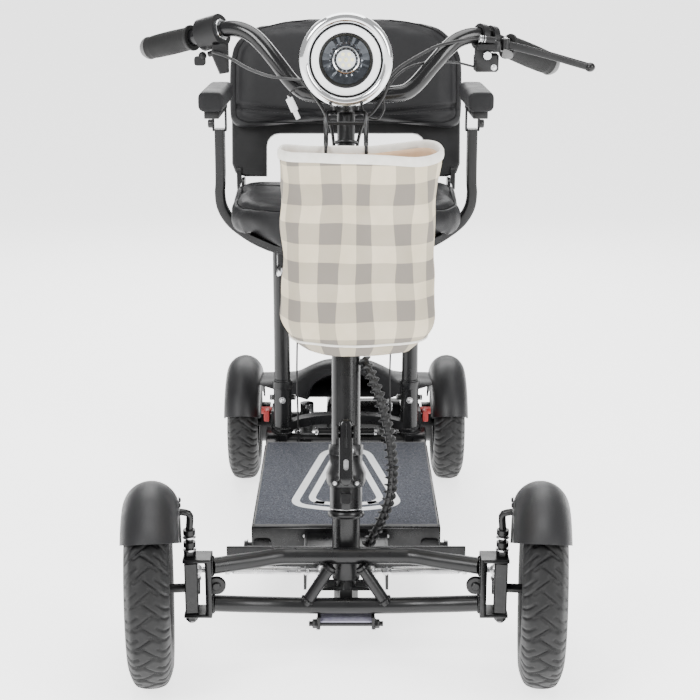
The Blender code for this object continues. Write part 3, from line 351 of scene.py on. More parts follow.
# ---------------------------------------------------------------- shapes


def closed(shape):
    bmesh.ops.remove_doubles(shape, verts=shape.verts, dist=1e-6)
    bmesh.ops.recalc_face_normals(shape, faces=shape.faces)
    return shape


def skin(shape, rings, round_rings=True, round_trip=False, caps=False):
    """Faces between neighbouring rings of vertices, and at will over the two end rings."""
    pairs = list(zip(rings, rings[1:])) + ([(rings[-1], rings[0])] if round_trip else [])
    for a, b in pairs:
        for i in range(len(a) if round_rings else len(a) - 1):
            j = (i + 1) % len(a)
            shape.faces.new((a[i], a[j], b[j], b[i]))
    if caps:
        shape.faces.new(rings[0])
        shape.faces.new(rings[-1])
    return shape


def basis(direction, near=None):
    z = Vector(direction).normalized()
    x = Vector(near) if near is not None else (SIDE if abs(z.x) < 0.9 else Vector((0, 1, 0)))
    y = z.cross(x).normalized()
    return Matrix((y.cross(z), y, z)).transposed()


def lathe(profile, origin, direction, steps=48):
    """Turns (radius, height) points round an axis. Points on the axis close the ends, else it is a ring."""
    shape = bmesh.new()
    turn = basis(direction)
    rings = []
    for radius, height in profile:
        angles = [2 * pi * i / steps for i in range(1 if radius == 0 else steps)]
        points = [Vector((radius * cos(a), radius * sin(a), height)) for a in angles]
        rings.append([shape.verts.new(Vector(origin) + turn @ p) for p in points])
    is_ring = profile[0][0] > 0 and profile[-1][0] > 0
    for a, b in list(zip(rings, rings[1:])) + ([(rings[-1], rings[0])] if is_ring else []):
        for i in range(steps if len(a) + len(b) > 2 else 0):
            j = (i + 1) % steps
            corners = [a[i % len(a)], a[j % len(a)], b[j % len(b)], b[i % len(b)]]
            shape.faces.new(list(dict.fromkeys(corners)))
    return closed(shape)


def rod(start, end, radius, steps=24, far=None, round_by=0.0):
    start, end = Vector(start), Vector(end)
    length, far = (end - start).length, radius if far is None else far
    c = round_by
    profile = [(0, 0), (radius - c, 0), (radius, c), (far, length - c), (far - c, length), (0, length)]
    return lathe(
        profile if c else [(0, 0), (radius, 0), (far, length), (0, length)], start, end - start, steps
    )


def pipe(start, end, radius, bore, steps=40):
    start, end = Vector(start), Vector(end)
    length, c = (end - start).length, 0.0006
    profile = [
        (bore, 0), (radius - c, 0), (radius, c), (radius, length - c), (radius - c, length),
        (bore, length)
    ]
    return lathe(profile, start, end - start, steps)


def ball(centre, radius, steps=24, squash=1.0):
    rows = 10
    heights = [-pi / 2 + pi * i / rows for i in range(rows + 1)]
    profile = [
        (radius * cos(a) if 0 < i < rows else 0, squash * radius * sin(a)) for i,
        a in enumerate(heights)
    ]
    return lathe(profile, centre, (0, 0, 1), steps)


def smooth_path(points, steps=8):
    points = [Vector(p) for p in points]
    padded = [2 * points[0] - points[1]] + points + [2 * points[-1] - points[-2]]
    path = []
    for a, b, c, d in zip(padded, padded[1:], padded[2:], padded[3:]):
        for i in range(steps):
            t = i / steps
            line = 2 * b + (c - a) * t + (2 * a - 5 * b + 4 * c - d) * t**2 + (3 * b - a - 3 * c + d) * t**3
            path.append(line / 2)
    return path + [points[-1]]


def mirrored(points):
    left = [Vector((-p[0], p[1], p[2])) for p in reversed(points) if p[0] > 0]
    return left + [Vector(p) for p in points]


def sweep(path, section, near):
    """A solid with one section along a path."""
    path = [Vector(p) for p in path]
    shape = bmesh.new()
    rings = []
    for i, point in enumerate(path):
        along = path[min(i + 1, len(path) - 1)] - path[max(i - 1, 0)]
        turn = basis(along, near)
        rings.append([shape.verts.new(point + turn @ Vector((x, y, 0))) for x, y in section])
    return closed(skin(shape, rings, caps=True))


def round_section(radius, sides=24):
    return [(radius * cos(2 * pi * i / sides), radius * sin(2 * pi * i / sides)) for i in range(sides)]


def tube(path, radius, sides=24, near=(0, 0, 1)):
    return sweep(path, round_section(radius, sides), near)


def prism(outline, start, depth, across=(1, 0, 0), normal=(0, 1, 0), bevel=0.0, rows=2):
    turn = basis(normal, across)
    shape = bmesh.new()
    near = [shape.verts.new(Vector(start) + turn @ Vector((x, y, 0))) for x, y in outline]
    far = [shape.verts.new(Vector(start) + turn @ Vector((x, y, depth))) for x, y in outline]
    closed(skin(shape, [near, far], caps=True))
    if bevel:
        rims = [e for e in shape.edges if all(v in near for v in e.verts) or all(v in far for v in e.verts)]
        bmesh.ops.bevel(
            shape, geom=rims, offset=bevel, segments=rows, profile=0.5, affect="EDGES",
            clamp_overlap=True
        )
    return closed(shape)


def block(low, high, bevel=0.0, rows=2):
    shape = bmesh.new()
    bmesh.ops.create_cube(shape, size=1)
    low, high = Vector(low), Vector(high)
    bmesh.ops.scale(shape, vec=high - low, verts=shape.verts)
    bmesh.ops.translate(shape, vec=(low + high) / 2, verts=shape.verts)
    if bevel:
        bmesh.ops.bevel(
            shape, geom=shape.edges[:], offset=bevel, segments=rows, profile=0.5, affect="EDGES",
            clamp_overlap=True
        )
    return closed(shape)


def rounded(width, height, radius, centre=(0, 0), steps=8):
    points = []
    for corner, (sx, sy) in enumerate(((1, 1), (-1, 1), (-1, -1), (1, -1))):
        cx, cy = centre[0] + sx * (width / 2 - radius), centre[1] + sy * (height / 2 - radius)
        for i in range(steps + 1):
            a = pi / 2 * (corner + i / steps)
            points.append((cx + radius * cos(a), cy + radius * sin(a)))
    return points


def moved(shape, matrix):
    bmesh.ops.transform(shape, matrix=matrix, verts=shape.verts)
    return closed(shape)


def reflect(shape):
    other = shape.copy()
    bmesh.ops.scale(other, vec=(-1, 1, 1), verts=other.verts)
    return closed(other)


def toed(shape):
    """Turns a front-wheel shape on the rider's left in by the toe angle, about its kingpin."""
    at = Matrix.Translation((KINGPIN_X, 0, 0))
    return moved(shape, at @ Matrix.Rotation(-TOE_IN, 4, "Z") @ at.inverted())


def bolt(at, direction, radius=0.004, height=0.003, dome=True):
    """A bolt head with a washer under it, domed or hexagonal."""
    at, direction = Vector(at), Vector(direction).normalized()
    washer = rod(at, at + direction * 0.0007, radius * 1.35, 20)
    if dome:
        profile = [
            (0, 0), (radius, 0), (radius, height * 0.35), (radius * 0.8, height * 0.8),
            (radius * 0.45, height), (0, height)
        ]
        return [washer, lathe(profile, at + direction * 0.0007, direction, 20)]
    head = lathe(
        [(0, 0), (radius, 0), (radius, height * 0.8), (radius * 0.86, height), (0, height)], at
        + direction * 0.0007, direction, 6
    )
    return [washer, head]


def weld(centre, axis, radius, bead=0.0021, start=0.0, sweep_by=2 * pi, ripples=None):
    """A rippled weld bead round a tube."""
    turn = basis(axis)
    count = ripples or max(8, int(sweep_by * radius / 0.0028))
    steps = count * 3
    shape = bmesh.new()
    rings = []
    whole = abs(sweep_by - 2 * pi) < 1e-6
    for i in range(steps if whole else steps + 1):
        a = start + sweep_by * i / steps
        size = bead * (0.82 + 0.22 * cos(2 * pi * i / 3))
        out = turn @ Vector((cos(a), sin(a), 0))
        ring = [
            out * (size * cos(b)) + Vector(axis).normalized() * (size * sin(b))
            for b in [2 * pi * k / 8 for k in range(8)]
        ]
        rings.append([shape.verts.new(Vector(centre) + out * radius + p) for p in ring])
    return closed(skin(shape, rings, round_trip=whole, caps=not whole))


# ---------------------------------------------------------------- pieces

BODY_OF = {node: body for body, nodes in frame["record"]["behaviour"]["bodies"].items() for node in nodes}
SLOT_OF = {part["node"]: part["material_slot"] for part in frame["record"]["subparts"]}


def from_mesh(name, mesh, body, look, slot, replaced=(), angle=38, bevel=0.0, rows=2):
    if not mesh.polygons:
        raise RuntimeError(f"{name} has no faces")
    mesh.materials.clear()
    for one in look if isinstance(look, (list, tuple)) else [look]:
        mesh.materials.append(one)
    mesh.shade_smooth()
    mesh.set_sharp_from_angle(angle=radians(angle))
    obj = bpy.data.objects.new(name, mesh)
    bpy.context.scene.collection.objects.link(obj)
    if bevel:
        step = obj.modifiers.new("Edges", "BEVEL")
        step.width, step.segments, step.limit_method, step.angle_limit = bevel, rows, "ANGLE", radians(50)
        step.harden_normals, step.miter_outer = True, "MITER_ARC"
    if body:
        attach(obj, body)
    if replaced:
        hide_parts(*replaced)
    return obj


def add(name, shapes, body, look, slot, replaced=(), **how):
    """One piece from several shapes, in the scooter's own coordinates."""
    shapes = shapes if isinstance(shapes, list) else [shapes]
    whole = bmesh.new()
    for shape in shapes:
        part = bpy.data.meshes.new("part")
        shape.to_mesh(part)
        whole.from_mesh(part)
        bpy.data.meshes.remove(part)
        shape.free()
    bmesh.ops.translate(whole, vec=ORIGIN, verts=whole.verts)
    mesh = bpy.data.meshes.new(name)
    whole.to_mesh(mesh)
    whole.free()
    return from_mesh(name, mesh, body, look, slot, replaced, **how)


def both(name, make, body, look, slot, replaced=(), **how):
    """The same piece on the rider's left and, reflected, on the right."""
    left = make()
    left = left if isinstance(left, list) else [left]
    right = [reflect(s) for s in left]
    for side, shapes in (("left", left), ("right", right)):
        rides = f"{body}_{side}" if f"{body}_{side}" in frame["bodies"] else body
        add(f"{name}_{side}", shapes, rides, look, slot, [f"{r}_{side}" for r in replaced], **how)


def refine(node, look, bevel=0.0007, rows=2):
    """The CAD solid itself with its edges broken and its round faces shaded smooth."""
    shape = bmesh.new()
    shape.from_mesh(frame["nodes"][node].data)
    bmesh.ops.remove_doubles(shape, verts=shape.verts, dist=2e-6)
    bmesh.ops.dissolve_limit(shape, angle_limit=radians(1.0), verts=shape.verts, edges=shape.edges)
    bmesh.ops.recalc_face_normals(shape, faces=shape.faces)
    mesh = bpy.data.meshes.new(node + "_fine")
    shape.to_mesh(mesh)
    shape.free()
    return from_mesh(
        node + "_fine", mesh, BODY_OF[node], look, SLOT_OF[node], [node], bevel=bevel, rows=rows
    )


def bake(obj):
    graph = bpy.context.evaluated_depsgraph_get()
    mesh = bpy.data.meshes.new_from_object(obj.evaluated_get(graph))
    obj.modifiers.clear()
    obj.data = mesh
    return obj


# ---------------------------------------------------------------- wheels


def segment_depth(a, b, ends, width):
    """A groove's depth at arc length a and distance b from the middle: 1 on its line, 0 away."""
    (a0, b0), (a1, b1) = ends
    da, db = a1 - a0, b1 - b0
    t = np.clip(((a - a0) * da + (b - b0) * db) / (da * da + db * db), 0, 1)
    gap = np.hypot(a - a0 - t * da, b - b0 - t * db)
    return np.clip(1.6 - 1.6 * gap / width, 0, 1)


def treaded_tyre(centre, radius, half, bead, cells, steps):
    """A tyre as a fine grid: long slanting grooves meet in a zig-zag, short ones cut the shoulders."""
    outline = [(-0.7, 0), (-0.93, 0.2), (-0.985, 0.48), (-0.74, 0.855), (-0.42, 0.972), (0, 1.0)]
    outline += [(-w, h) for w, h in reversed(outline[:-1])]
    line = np.array([(p.x, p.y) for p in smooth_path([(w, h, 0) for w, h in outline], 6)])
    across, height = line[:, 0] * half, bead + (radius - bead) * line[:, 1]
    count = cells * steps
    theta = np.arange(count) * 2 * pi / count
    arc, b = np.meshgrid(theta * radius, across, indexing="ij")
    cell = 2 * pi * radius / cells
    lines = [
        ((0.0, -0.88), (0.78, 0.22)), ((0.5, 0.88), (1.28, -0.22)), ((0.42, -0.9), (0.74, -0.42)),
        ((0.92, 0.9), (1.24, 0.42))
    ]
    lines += [((0.1, -0.52), (0.34, -0.12)), ((0.6, 0.52), (0.84, 0.12))]
    depth = np.zeros_like(arc)
    for (a0, b0), (a1, b1) in lines:
        for turn in (-2, -1, 0, 1, 2):
            ends = ((a0 + turn) * cell, b0 * half), ((a1 + turn) * cell, b1 * half)
            depth = np.maximum(depth, segment_depth(np.mod(arc, cell), b, ends, 0.0021))
    fall = 0.0024 * depth * np.clip((line[:, 1] - 0.45) / 0.25, 0, 1)[None, :]
    fall += 0.0007 * (np.abs(np.abs(line[:, 1]) - 0.4) < 0.03)[None, :]
    r = height[None, :] - fall * 0.9
    x = across[None, :] * (1 - fall * 12)
    y, z = r * np.sin(theta)[:, None], r * np.cos(theta)[:, None]
    points = np.stack([np.broadcast_to(x, y.shape), y, z], -1)
    rows = points.shape[1]
    faces, looks = [], []
    for i in range(count):
        k = (i + 1) % count
        for j in range(rows):
            m = (j + 1) % rows
            faces.append((i * rows + j, i * rows + m, k * rows + m, k * rows + j))
            on_line = j < rows - 1 and line[j, 0] < 0.52 <= line[m, 0] and line[j, 1] > 0.5
            looks.append(1 if on_line else 0)
    mesh = bpy.data.meshes.new("tyre")
    mesh.from_pydata((points.reshape(-1, 3) + np.array(centre)).tolist(), [], faces)
    mesh.polygons.foreach_set("material_index", looks)
    shape = bmesh.new()
    shape.from_mesh(mesh)
    bpy.data.meshes.remove(mesh)
    bmesh.ops.recalc_face_normals(shape, faces=shape.faces)
    return shape


def wheel(radius, bead, half, x, y, bore):
    """A cast rim: a rolled edge each side, five ribs on its dish, hub bolts and a valve stem."""
    at = Vector((x, y, radius))
    barrel = bead - 0.009
    profile = [
        (bore, -0.017), (0.016, -0.017), (0.018, -0.015), (0.02, 0.004), (0.024, 0.006),
        (barrel - 0.004, 0.007), (barrel, 0.003)
    ]
    profile += [
        (barrel, 0.003 - half + 0.004), (barrel + 0.002, -half), (bead - 0.001, -half),
        (bead, 1.5e-3 - half), (bead, half - 1.5e-3), (bead - 0.001, half)
    ]
    profile += [
        (barrel + 0.002, half), (barrel, half - 0.004), (barrel, 0.016), (barrel - 0.004, 0.013),
        (0.024, 0.0125), (0.02, 0.0145), (0.0185, 0.0195), (0.017, 0.021), (bore, 0.021)
    ]
    shapes = [lathe(profile, at, (1, 0, 0), 96)]
    for i in range(5):
        turn = Matrix.Translation(at) @ Matrix.Rotation(2 * pi * i / 5, 4, "X")
        rib = block((0.01, -0.005, 0.016), (0.0168, 0.005, barrel - 0.001), 0.0016)
        fork = [
            block((0.01, s * 0.013 - 0.0022, 0.026), (0.0152, s * 0.013 + 0.0022, barrel - 0.003), 0.001)
            for s in (-1, 1)
        ]
        shapes += [moved(s, turn) for s in [rib, *fork]]
        shapes += [moved(s, turn) for s in bolt((0.0195, 0.0062, 0.0115), (1, 0, 0), 0.0018, 0.0015, False)]
    valve = rod(
        at + Vector((0.016, 0, -barrel + 0.001)), at + Vector((0.019, 0, -barrel + 0.016)), 0.0024,
        16, 0.002
    )
    return shapes + [valve]


front = (FRONT_WHEEL_X, 0, FRONT_WHEEL_R)
rear = (REAR_WHEEL_X, REAR_WHEEL_Y, REAR_WHEEL_R)
both(
    "front_tread", lambda: toed(treaded_tyre(front, FRONT_WHEEL_R, 0.029, 0.0785, 26, 20)),
    "front_wheel", [RUBBER, RED_RUBBER], "tyre_rubber", ["front_tyre"], angle=60
)
both(
    "rear_tread", lambda: treaded_tyre(rear, REAR_WHEEL_R, 0.0275, 0.0625, 22, 18), "rear_wheel",
    [RUBBER, RED_RUBBER], "tyre_rubber", ["rear_tyre"], angle=60
)
both(
    "front_wheel_rim",
    lambda: [toed(s) for s in wheel(FRONT_WHEEL_R, 0.078, 0.022, FRONT_WHEEL_X, 0, 0.0066)],
    "front_wheel", COAT, "black_powder_coat", ["front_rim"]
)
both(
    "rear_wheel_rim", lambda: wheel(REAR_WHEEL_R, 0.062, 0.022, REAR_WHEEL_X, REAR_WHEEL_Y, 0.0086),
    "rear_wheel", COAT, "black_powder_coat", ["rear_rim"]
)


# ---------------------------------------------------------------- fenders


def arc_path(x, y, z, radius, start, end, steps):
    angles = [radians(start + (end - start) * i / steps) for i in range(steps + 1)]
    return [(x, y + radius * sin(a), z + radius * cos(a)) for a in angles]


def fender_section(width, skirt, thickness=0.003, steps=28):
    angles = [pi * i / steps - pi / 2 for i in range(steps + 1)]
    outer, inner = width / 2, width / 2 - thickness
    outside = [(outer * sin(a), outer * (1 - cos(a))) for a in angles]
    inside = [(inner * sin(a), outer - inner * cos(a)) for a in reversed(angles)]
    low = outer + skirt
    return [(-outer, low)] + outside + [(outer, low), (inner, low)] + inside + [(-inner, low)]


def cut_below(shape, point, normal):
    """Removes what lies on the side of the plane that its normal points away from, and closes the cut."""
    geometry = shape.verts[:] + shape.edges[:] + shape.faces[:]
    made = bmesh.ops.bisect_plane(shape, geom=geometry, plane_co=point, plane_no=normal, clear_inner=True)
    rim = [e for e in made["geom_cut"] if isinstance(e, bmesh.types.BMEdge)]
    bmesh.ops.triangle_fill(shape, edges=rim, use_beauty=True)
    return closed(shape)


def front_fender():
    shell = sweep(
        arc_path(0.254, 0, FRONT_WHEEL_R, FRONT_WHEEL_R + 0.015, -50, 84, 60),
        fender_section(0.074, 0.004), (1, 0, 0)
    )
    shell = cut_below(shell, (0, 0, 0.1915), Vector((0, 0.088, 0.2)))
    screws = [s for y in (0.004, 0.022) for s in bolt((0.2172, y, 0.243), (-1, 0, 0), 0.0034, 0.0024)]
    return [toed(s) for s in [shell, *screws]]


both(
    "front_mudguard", front_fender, "knuckle", PLASTIC, "black_plastic", ["front_fender"], angle=32,
    bevel=0.0006
)

COVER_FRONT, COVER_BACK, COVER_LOW = 0.69, 0.8, 0.1625


def rear_moulding():
    """The bridge with its arch, lofted from front to back, and a fender over each wheel."""
    outer = REAR_WHEEL_X - 0.032 + 0.002
    crown = [
        (outer, 0.1945), (0.128, 0.1955), (0.106, 0.1965), (0.09, 0.2), (0.077, 0.2085),
        (0.06, 0.2195), (0.036, 0.229), (0, 0.2325)
    ]
    line = smooth_path([(x, 0, z) for x, z in crown], 6)
    line = [(p.x, p.z) for p in line] + [(-p.x, p.z) for p in reversed(line[:-1])]
    stations = [
        (0.0, 0.86, 0.004), (0.04, 0.94, 0.001), (0.12, 0.995, 0), (0.3, 0.985, 0), (0.5, 0.9, 0),
        (0.75, 0.76, 0), (0.93, 0.62, 0), (1.0, 0.54, 0.003)
    ]
    shape = bmesh.new()
    rings = []
    for t, rise, lift in stations:
        y = COVER_FRONT + (COVER_BACK - COVER_FRONT) * t
        rings.append(
            [shape.verts.new((x, y, COVER_LOW + lift + (z - COVER_LOW - lift) * rise)) for x, z in line]
        )
    skin(shape, rings, round_rings=False)
    arch = [
        (0.07 * cos(a), COVER_LOW + 0.0505 * sin(a) ** 0.9)
        for a in [pi * i / (len(line) - 1) for i in range(len(line))]
    ]
    lip = [shape.verts.new((x, COVER_FRONT, z)) for x, z in arch]
    inner = [
        shape.verts.new((x * 0.94, COVER_FRONT + 0.012, COVER_LOW + (z - COVER_LOW) * 0.93)) for x,
        z in arch
    ]
    deep = [
        shape.verts.new((x * 0.9, COVER_BACK - 0.012, COVER_LOW + (z - COVER_LOW) * 0.06)) for x,
        z in arch
    ]
    skin(shape, [rings[0], lip, inner, deep], round_rings=False)
    skin(shape, [rings[-1], deep], round_rings=False)
    sides = [r[0] for r in rings], [r[-1] for r in rings]
    for side, k in zip(sides, (0, -1)):
        shape.faces.new(list(side) + [deep[k], inner[k], lip[k]])
    bmesh.ops.recalc_face_normals(shape, faces=shape.faces)
    fender = sweep(
        arc_path(REAR_WHEEL_X, REAR_WHEEL_Y, REAR_WHEEL_R, REAR_WHEEL_R + 0.018, -67, 75, 60),
        fender_section(0.064, 0.004), (1, 0, 0)
    )
    screws = [s for x in (-0.12, 0.12) for s in bolt((x, 0.6985, 0.178), (0, -1, 0.15), 0.0034, 0.0022)]
    tray = block((-0.068, 0.7, 0.164), (0.068, 0.787, 0.1668), 0.0008)
    return [shape, fender, reflect(fender), tray, *screws]


add("rear_mudguards", rear_moulding(), "scooter", PLASTIC, "black_plastic", ["rear_cover"], angle=40)


# ---------------------------------------------------------------- front frame

FACE = 0.1755


def front_tubes():
    half = [
        (0, 0.046, 0.152), (0.07, 0.046, 0.152), (0.092, 0.043, 0.1525), (0.125, 0.027, 0.154),
        (FACE, 0.0042, 0.1565)
    ]
    upper = tube(smooth_path(mirrored(half), 10), TUBE_R, 32)
    top_welds = [weld((s * FACE, 0.0042, 0.1565), (1, 0, 0), TUBE_R + 0.0006, 0.002) for s in (-1, 1)]
    top_welds.append(weld((0, 0.062, 0.156), (0, 0.27, 1), 0.0195, 0.0022, radians(-170), radians(160), 18))
    add("upper_tube_fine", [upper, *top_welds], "scooter", COAT, "black_powder_coat", ["upper_front_tube"])
    half = [
        (0, 0.03, 0.086), (0.06, 0.029, 0.087), (0.1, 0.023, 0.091), (0.14, 0.009, 0.099),
        (FACE, 0.001, 0.1043)
    ]
    lower = tube(smooth_path(mirrored(half), 10), TUBE_R, 32)
    brace = rod((0.02, 0.034, 0.142), (0.0545, 0.026, 0.091), 0.0078, 28)
    seams = [
        weld((0.0515, 0.0262, 0.0965), (0.6, -0.13, -0.85), 0.0082, 0.0018),
        weld((0.0225, 0.0335, 0.1375), (0.6, -0.13, -0.85), 0.0082, 0.0018)
    ]
    ends = [weld((FACE, 0.001, 0.1043), (1, 0, 0), TUBE_R + 0.0006, 0.002)]
    left = [brace, *seams, *ends]
    add(
        "lower_tube_fine", [lower, *left, *[reflect(s) for s in left]], "scooter", COAT,
        "black_powder_coat", ["lower_front_tube"]
    )


front_tubes()
for side in ("left", "right"):
    refine("kingpin_bracket_" + side, COAT, 0.0012, 3)
    refine("knuckle_" + side, COAT, 0.0008)
    refine("freewheel_lever_" + side, RED, 0.0012, 3)
    refine("axle_buffer_" + side, CHROME, 0.0012, 3)
for node, look, edge in (
    ("head_tube", COAT, 0.0006), ("front_carrier", COAT, 0.0008), ("steering_shaft", COAT, 0.0007),
    ("stem_hinge", COAT, 0.0008), ("stem_lower_tube", COAT, 0.0006), ("stem_upper_tube", COAT, 0.0006),
    ("throttle_housing", DARK_PLASTIC, 0.0008), ("throttle_lever", DARK_PLASTIC, 0.001),
    ("brake_perch", DARK_PLASTIC, 0.0009),
    ("horn_button", CHROME, 0.0008), ("deck_tray", COAT, 0.0012), ("battery_pack", DARK_PLASTIC, 0.002),
    ("rear_frame", COAT, 0.0009), ("rear_axle", COAT, 0.0012), ("seat_frame", COAT, 0.001),
    ("seat_latch", ZINC, 0.001), ("backrest_shell", DARK_PLASTIC, 0.0015),
):
    refine(node, look, edge)


def fittings():
    """Bolts, nuts, pins and weld beads that the frame carries."""
    zinc, black = [], []
    for s in (-1, 1):
        zinc += bolt((s * 0.158, 0.1222, 0.112), (0, -1, 0), 0.0035, 0.003, False)
        zinc += bolt((s * 0.12, 0.1893, 0.105), (0, -1, 0), 0.0028, 0.002)
        zinc += bolt((s * 0.06, 0.1893, 0.118), (0, -1, 0), 0.0022, 0.0018)
        zinc += bolt((s * 0.0835, 0.6045, 0.1332), (0, -1, 0.2), 0.0045, 0.0035)
        zinc += bolt((s * 0.1318, 0.586, 0.12), (s, 0, 0), 0.004, 0.003)
        zinc += bolt((s * 0.1092, 0.588, 0.195), (0, -1, 0), 0.0042, 0.0032)
        plate = rounded(0.026, 0.03, 0.006, (s * 0.122, -0.0985))
        black.append(prism(plate, (0, 0.1865, 0), 0.004, bevel=0.001))
        black.append(rod((s * 0.137, 0.2, 0.1), (s * 0.149, 0.2, 0.1), 0.0036, 20))
        black += bolt((s * 0.1435, 0.2, 0.1), (s, 0, 0), 0.0058, 0.005, False)
        black.append(rod((s * 0.06, 0.15, 0.1), (s * 0.07, 0.15, 0.1), 0.0045, 20))
        black += bolt((s * 0.06, 0.15, 0.1), (s, 0, 0), 0.0056, 0.0055, False)
        black.append(weld((s * POST_X, POST_Y, 0.134), (0, 0, 1), 0.016, 0.0019))
        collar = [(0.0055, 0), (0.0115, 0), (0.012, 0.001), (0.012, 0.006), (0.0055, 0.006)]
        black.append(lathe(collar, (s * 0.1705, -0.003, 0.1305), (0, 1, 0), 32))
        black.append(
            rod((s * 0.1705, -0.006, 0.1305), (s * 0.1705, 0.006, 0.1305), 0.0056, 24, round_by=0.001)
        )
    zinc += [pipe(column(0.0995), column(0.1015), 0.0226, 0.019)]
    add("frame_bolts", zinc, "scooter", ZINC, "zinc")
    add("frame_fittings", black, "scooter", COAT, "black_powder_coat")
    caps = [s for x in (-0.015, 0.015) for s in bolt(column(0.1375, -0.0288, x), -BACK, 0.0022, 0.0016)]
    caps += bolt(column(0.1815, -0.0262, 0.0062), SIDE, 0.0034, 0.003, False)
    add("hinge_bolts", caps, "stem", ZINC, "zinc")
    pads = [
        s for sign in (-1, 1) for z in (0.47, 0.4785)
        for s in bolt((sign * POST_X, 0.591, z), (0, -1, 0), 0.0034, 0.0026)
    ]
    pads += [
        s for sign in (-1, 1)
        for s in bolt((sign * 0.1822, 0.747, 0.54), (sign, 0, 0), 0.0055, 0.0036)
    ]
    add("seat_bolts", pads, "seat", ZINC, "zinc")
    for side, sign in (("left", 1), ("right", -1)):
        nuts = [*bolt((sign * KINGPIN_X, 0, 0.0812), (0, 0, -1), 0.005, 0.003, False)]
        nuts += [
            rod((sign * KINGPIN_X, 0, z), (sign * KINGPIN_X, 0, z + 0.0022), 0.0088, 24)
            for z in (0.1818, 0.1993)
        ]
        add("knuckle_nuts_" + side, nuts, "knuckle_" + side, ZINC, "zinc")


fittings()


def tie_rods():
    """Bright rods with threaded ends, lock nuts and ball joints."""
    inner = column(0.0095, back=0.036, side=0.035)
    king = Vector((KINGPIN_X, 0, 0))
    outer = king + Matrix.Rotation(-TOE_IN, 3, "Z") @ (Vector((0.197, 0.048, 0.1305)) - king)
    along = (outer - inner).normalized()
    length = (outer - inner).length
    shapes = [rod(inner + along * 0.03, outer - along * 0.05, 0.0055, 28, round_by=0.001)]
    for start, end in ((0.006, 0.032), (length - 0.054, length - 0.006)):
        profile = [(0, start)]
        turns = int((end - start) / 0.0013)
        for i in range(turns):
            profile += [(0.0036, start + 0.0013 * i), (0.0042, start + 0.0013 * i + 0.00065)]
        shapes.append(lathe(profile + [(0.0036, end), (0, end)], inner, along, 20))
    for at in (0.018, length - 0.046):
        nut = [
            (0, at), (0.0056, at), (0.0064, at + 0.0008), (0.0064, at + 0.0052), (0.0056, at + 0.006),
            (0, at + 0.006)
        ]
        shapes.append(lathe(nut, inner, along, 6))
    shapes += [
        ball(inner, 0.0085), ball(outer, 0.008), rod(inner, inner - UP * 0.0127, 0.0038, 20),
        rod(outer, outer - Vector((0, 0, 0.011)), 0.0045, 20)
    ]
    return shapes


both("tie_rod_fine", tie_rods, "tie_rod", ZINC, "zinc", ["tie_rod"])


def skid():
    cheek = block((0.0345, 0.018, 0.056), (0.039, 0.042, 0.0744), 0.0012)
    through = [rod((-0.05, 0.025, 0.062), (0.05, 0.025, 0.062), 0.0035, 20)]
    for s in (-1, 1):
        through += bolt((s * 0.0392, 0.025, 0.062), (s, 0, 0), 0.0062, 0.0055, False)
    add("skid_frame", [cheek, reflect(cheek), *through], "scooter", COAT, "black_powder_coat")
    guard = prism(
        [(-0.036, -0.065), (0.036, -0.065), (0.036, -0.0675), (-0.036, -0.0675)], (0, 0.022, 0),
        0.038, bevel=0.0005
    )
    add("skid_guard", guard, "scooter", LILAC, "black_powder_coat", ["skid_plate"])


skid()


# ---------------------------------------------------------------- tiller


def latch():
    """The long latch handle: a ridged plate with a finger window and its pivot pin."""
    outline = rounded(0.0186, 0.09, 0.0085, (0, -0.18))
    window = rounded(0.007, 0.015, 0.0034, (0, -0.163))
    shape = bmesh.new()
    turn = basis(BACK, (1, 0, 0))
    start = column(0) - BACK * 0.0365

    def ring(points, depth, grow=0.0):
        centre = Vector((sum(p[0] for p in points), sum(p[1] for p in points))) / len(points)
        made = []
        for x, y in points:
            wide = centre.x + (x - centre.x) * (1 + grow)
            tall = centre.y + (y - centre.y) * (1 + grow * 0.3)
            made.append(shape.verts.new(start + turn @ Vector((wide, tall, depth))))
        return made

    outer = [
        ring(outline, 0.0, -0.28), ring(outline, 0.0012, -0.08), ring(outline, 0.0026),
        ring(outline, 0.0062)
    ]
    hole = [ring(window, 0.0), ring(window, 0.0062)]
    skin(shape, outer)
    skin(shape, hole)
    shape.edges.ensure_lookup_table()
    for rim, gap in ((outer[0], hole[0]), (outer[-1], hole[1])):
        edges = [
            shape.edges.get((loop[i], loop[(i + 1) % len(loop)])) for loop in (rim, gap)
            for i in range(len(loop))
        ]
        bmesh.ops.triangle_fill(shape, edges=edges, use_beauty=True)
    closed(shape)
    spine = [rod(column(0.186, -0.0372), column(0.219, -0.0372), 0.002, 20, 0.0012)]
    pin = [rod(column(0.207, -0.033, -0.0105), column(0.207, -0.033, 0.0105), 0.0028, 20)]
    plate = prism(
        rounded(0.0074, 0.0154, 0.003, (0, -0.163)), column(0) - BACK * 0.0322, 0.0012, (1, 0, 0),
        BACK
    )
    add("latch_slot_plate", plate, "latch", ZINC, "zinc")
    add("latch_handle", [shape, *spine, *pin], "latch", GLOSS, "black_powder_coat", ["latch_lever"])


latch()

BAR_LEFT = [
    (0.0657, 0.2476, 0.7467), (0.0903, 0.25, 0.7549), (0.1206, 0.262, 0.7866),
    (0.1387, 0.2715, 0.8055), (0.1557, 0.281, 0.8178), (0.1773, 0.291, 0.8226),
    (0.2004, 0.302, 0.8178), (0.223, 0.315, 0.8082), (0.2952, 0.36, 0.7779),
]
BAR_RIGHT = [
    (-0.046, 0.2476, 0.7467), (-0.0698, 0.251, 0.7586), (-0.0963, 0.262, 0.79),
    (-0.1125, 0.271, 0.8089), (-0.1293, 0.28, 0.8238), (-0.1491, 0.2895, 0.8313),
    (-0.1722, 0.301, 0.8301), (-0.2122, 0.322, 0.8185), (-0.2828, 0.37, 0.8006),
]


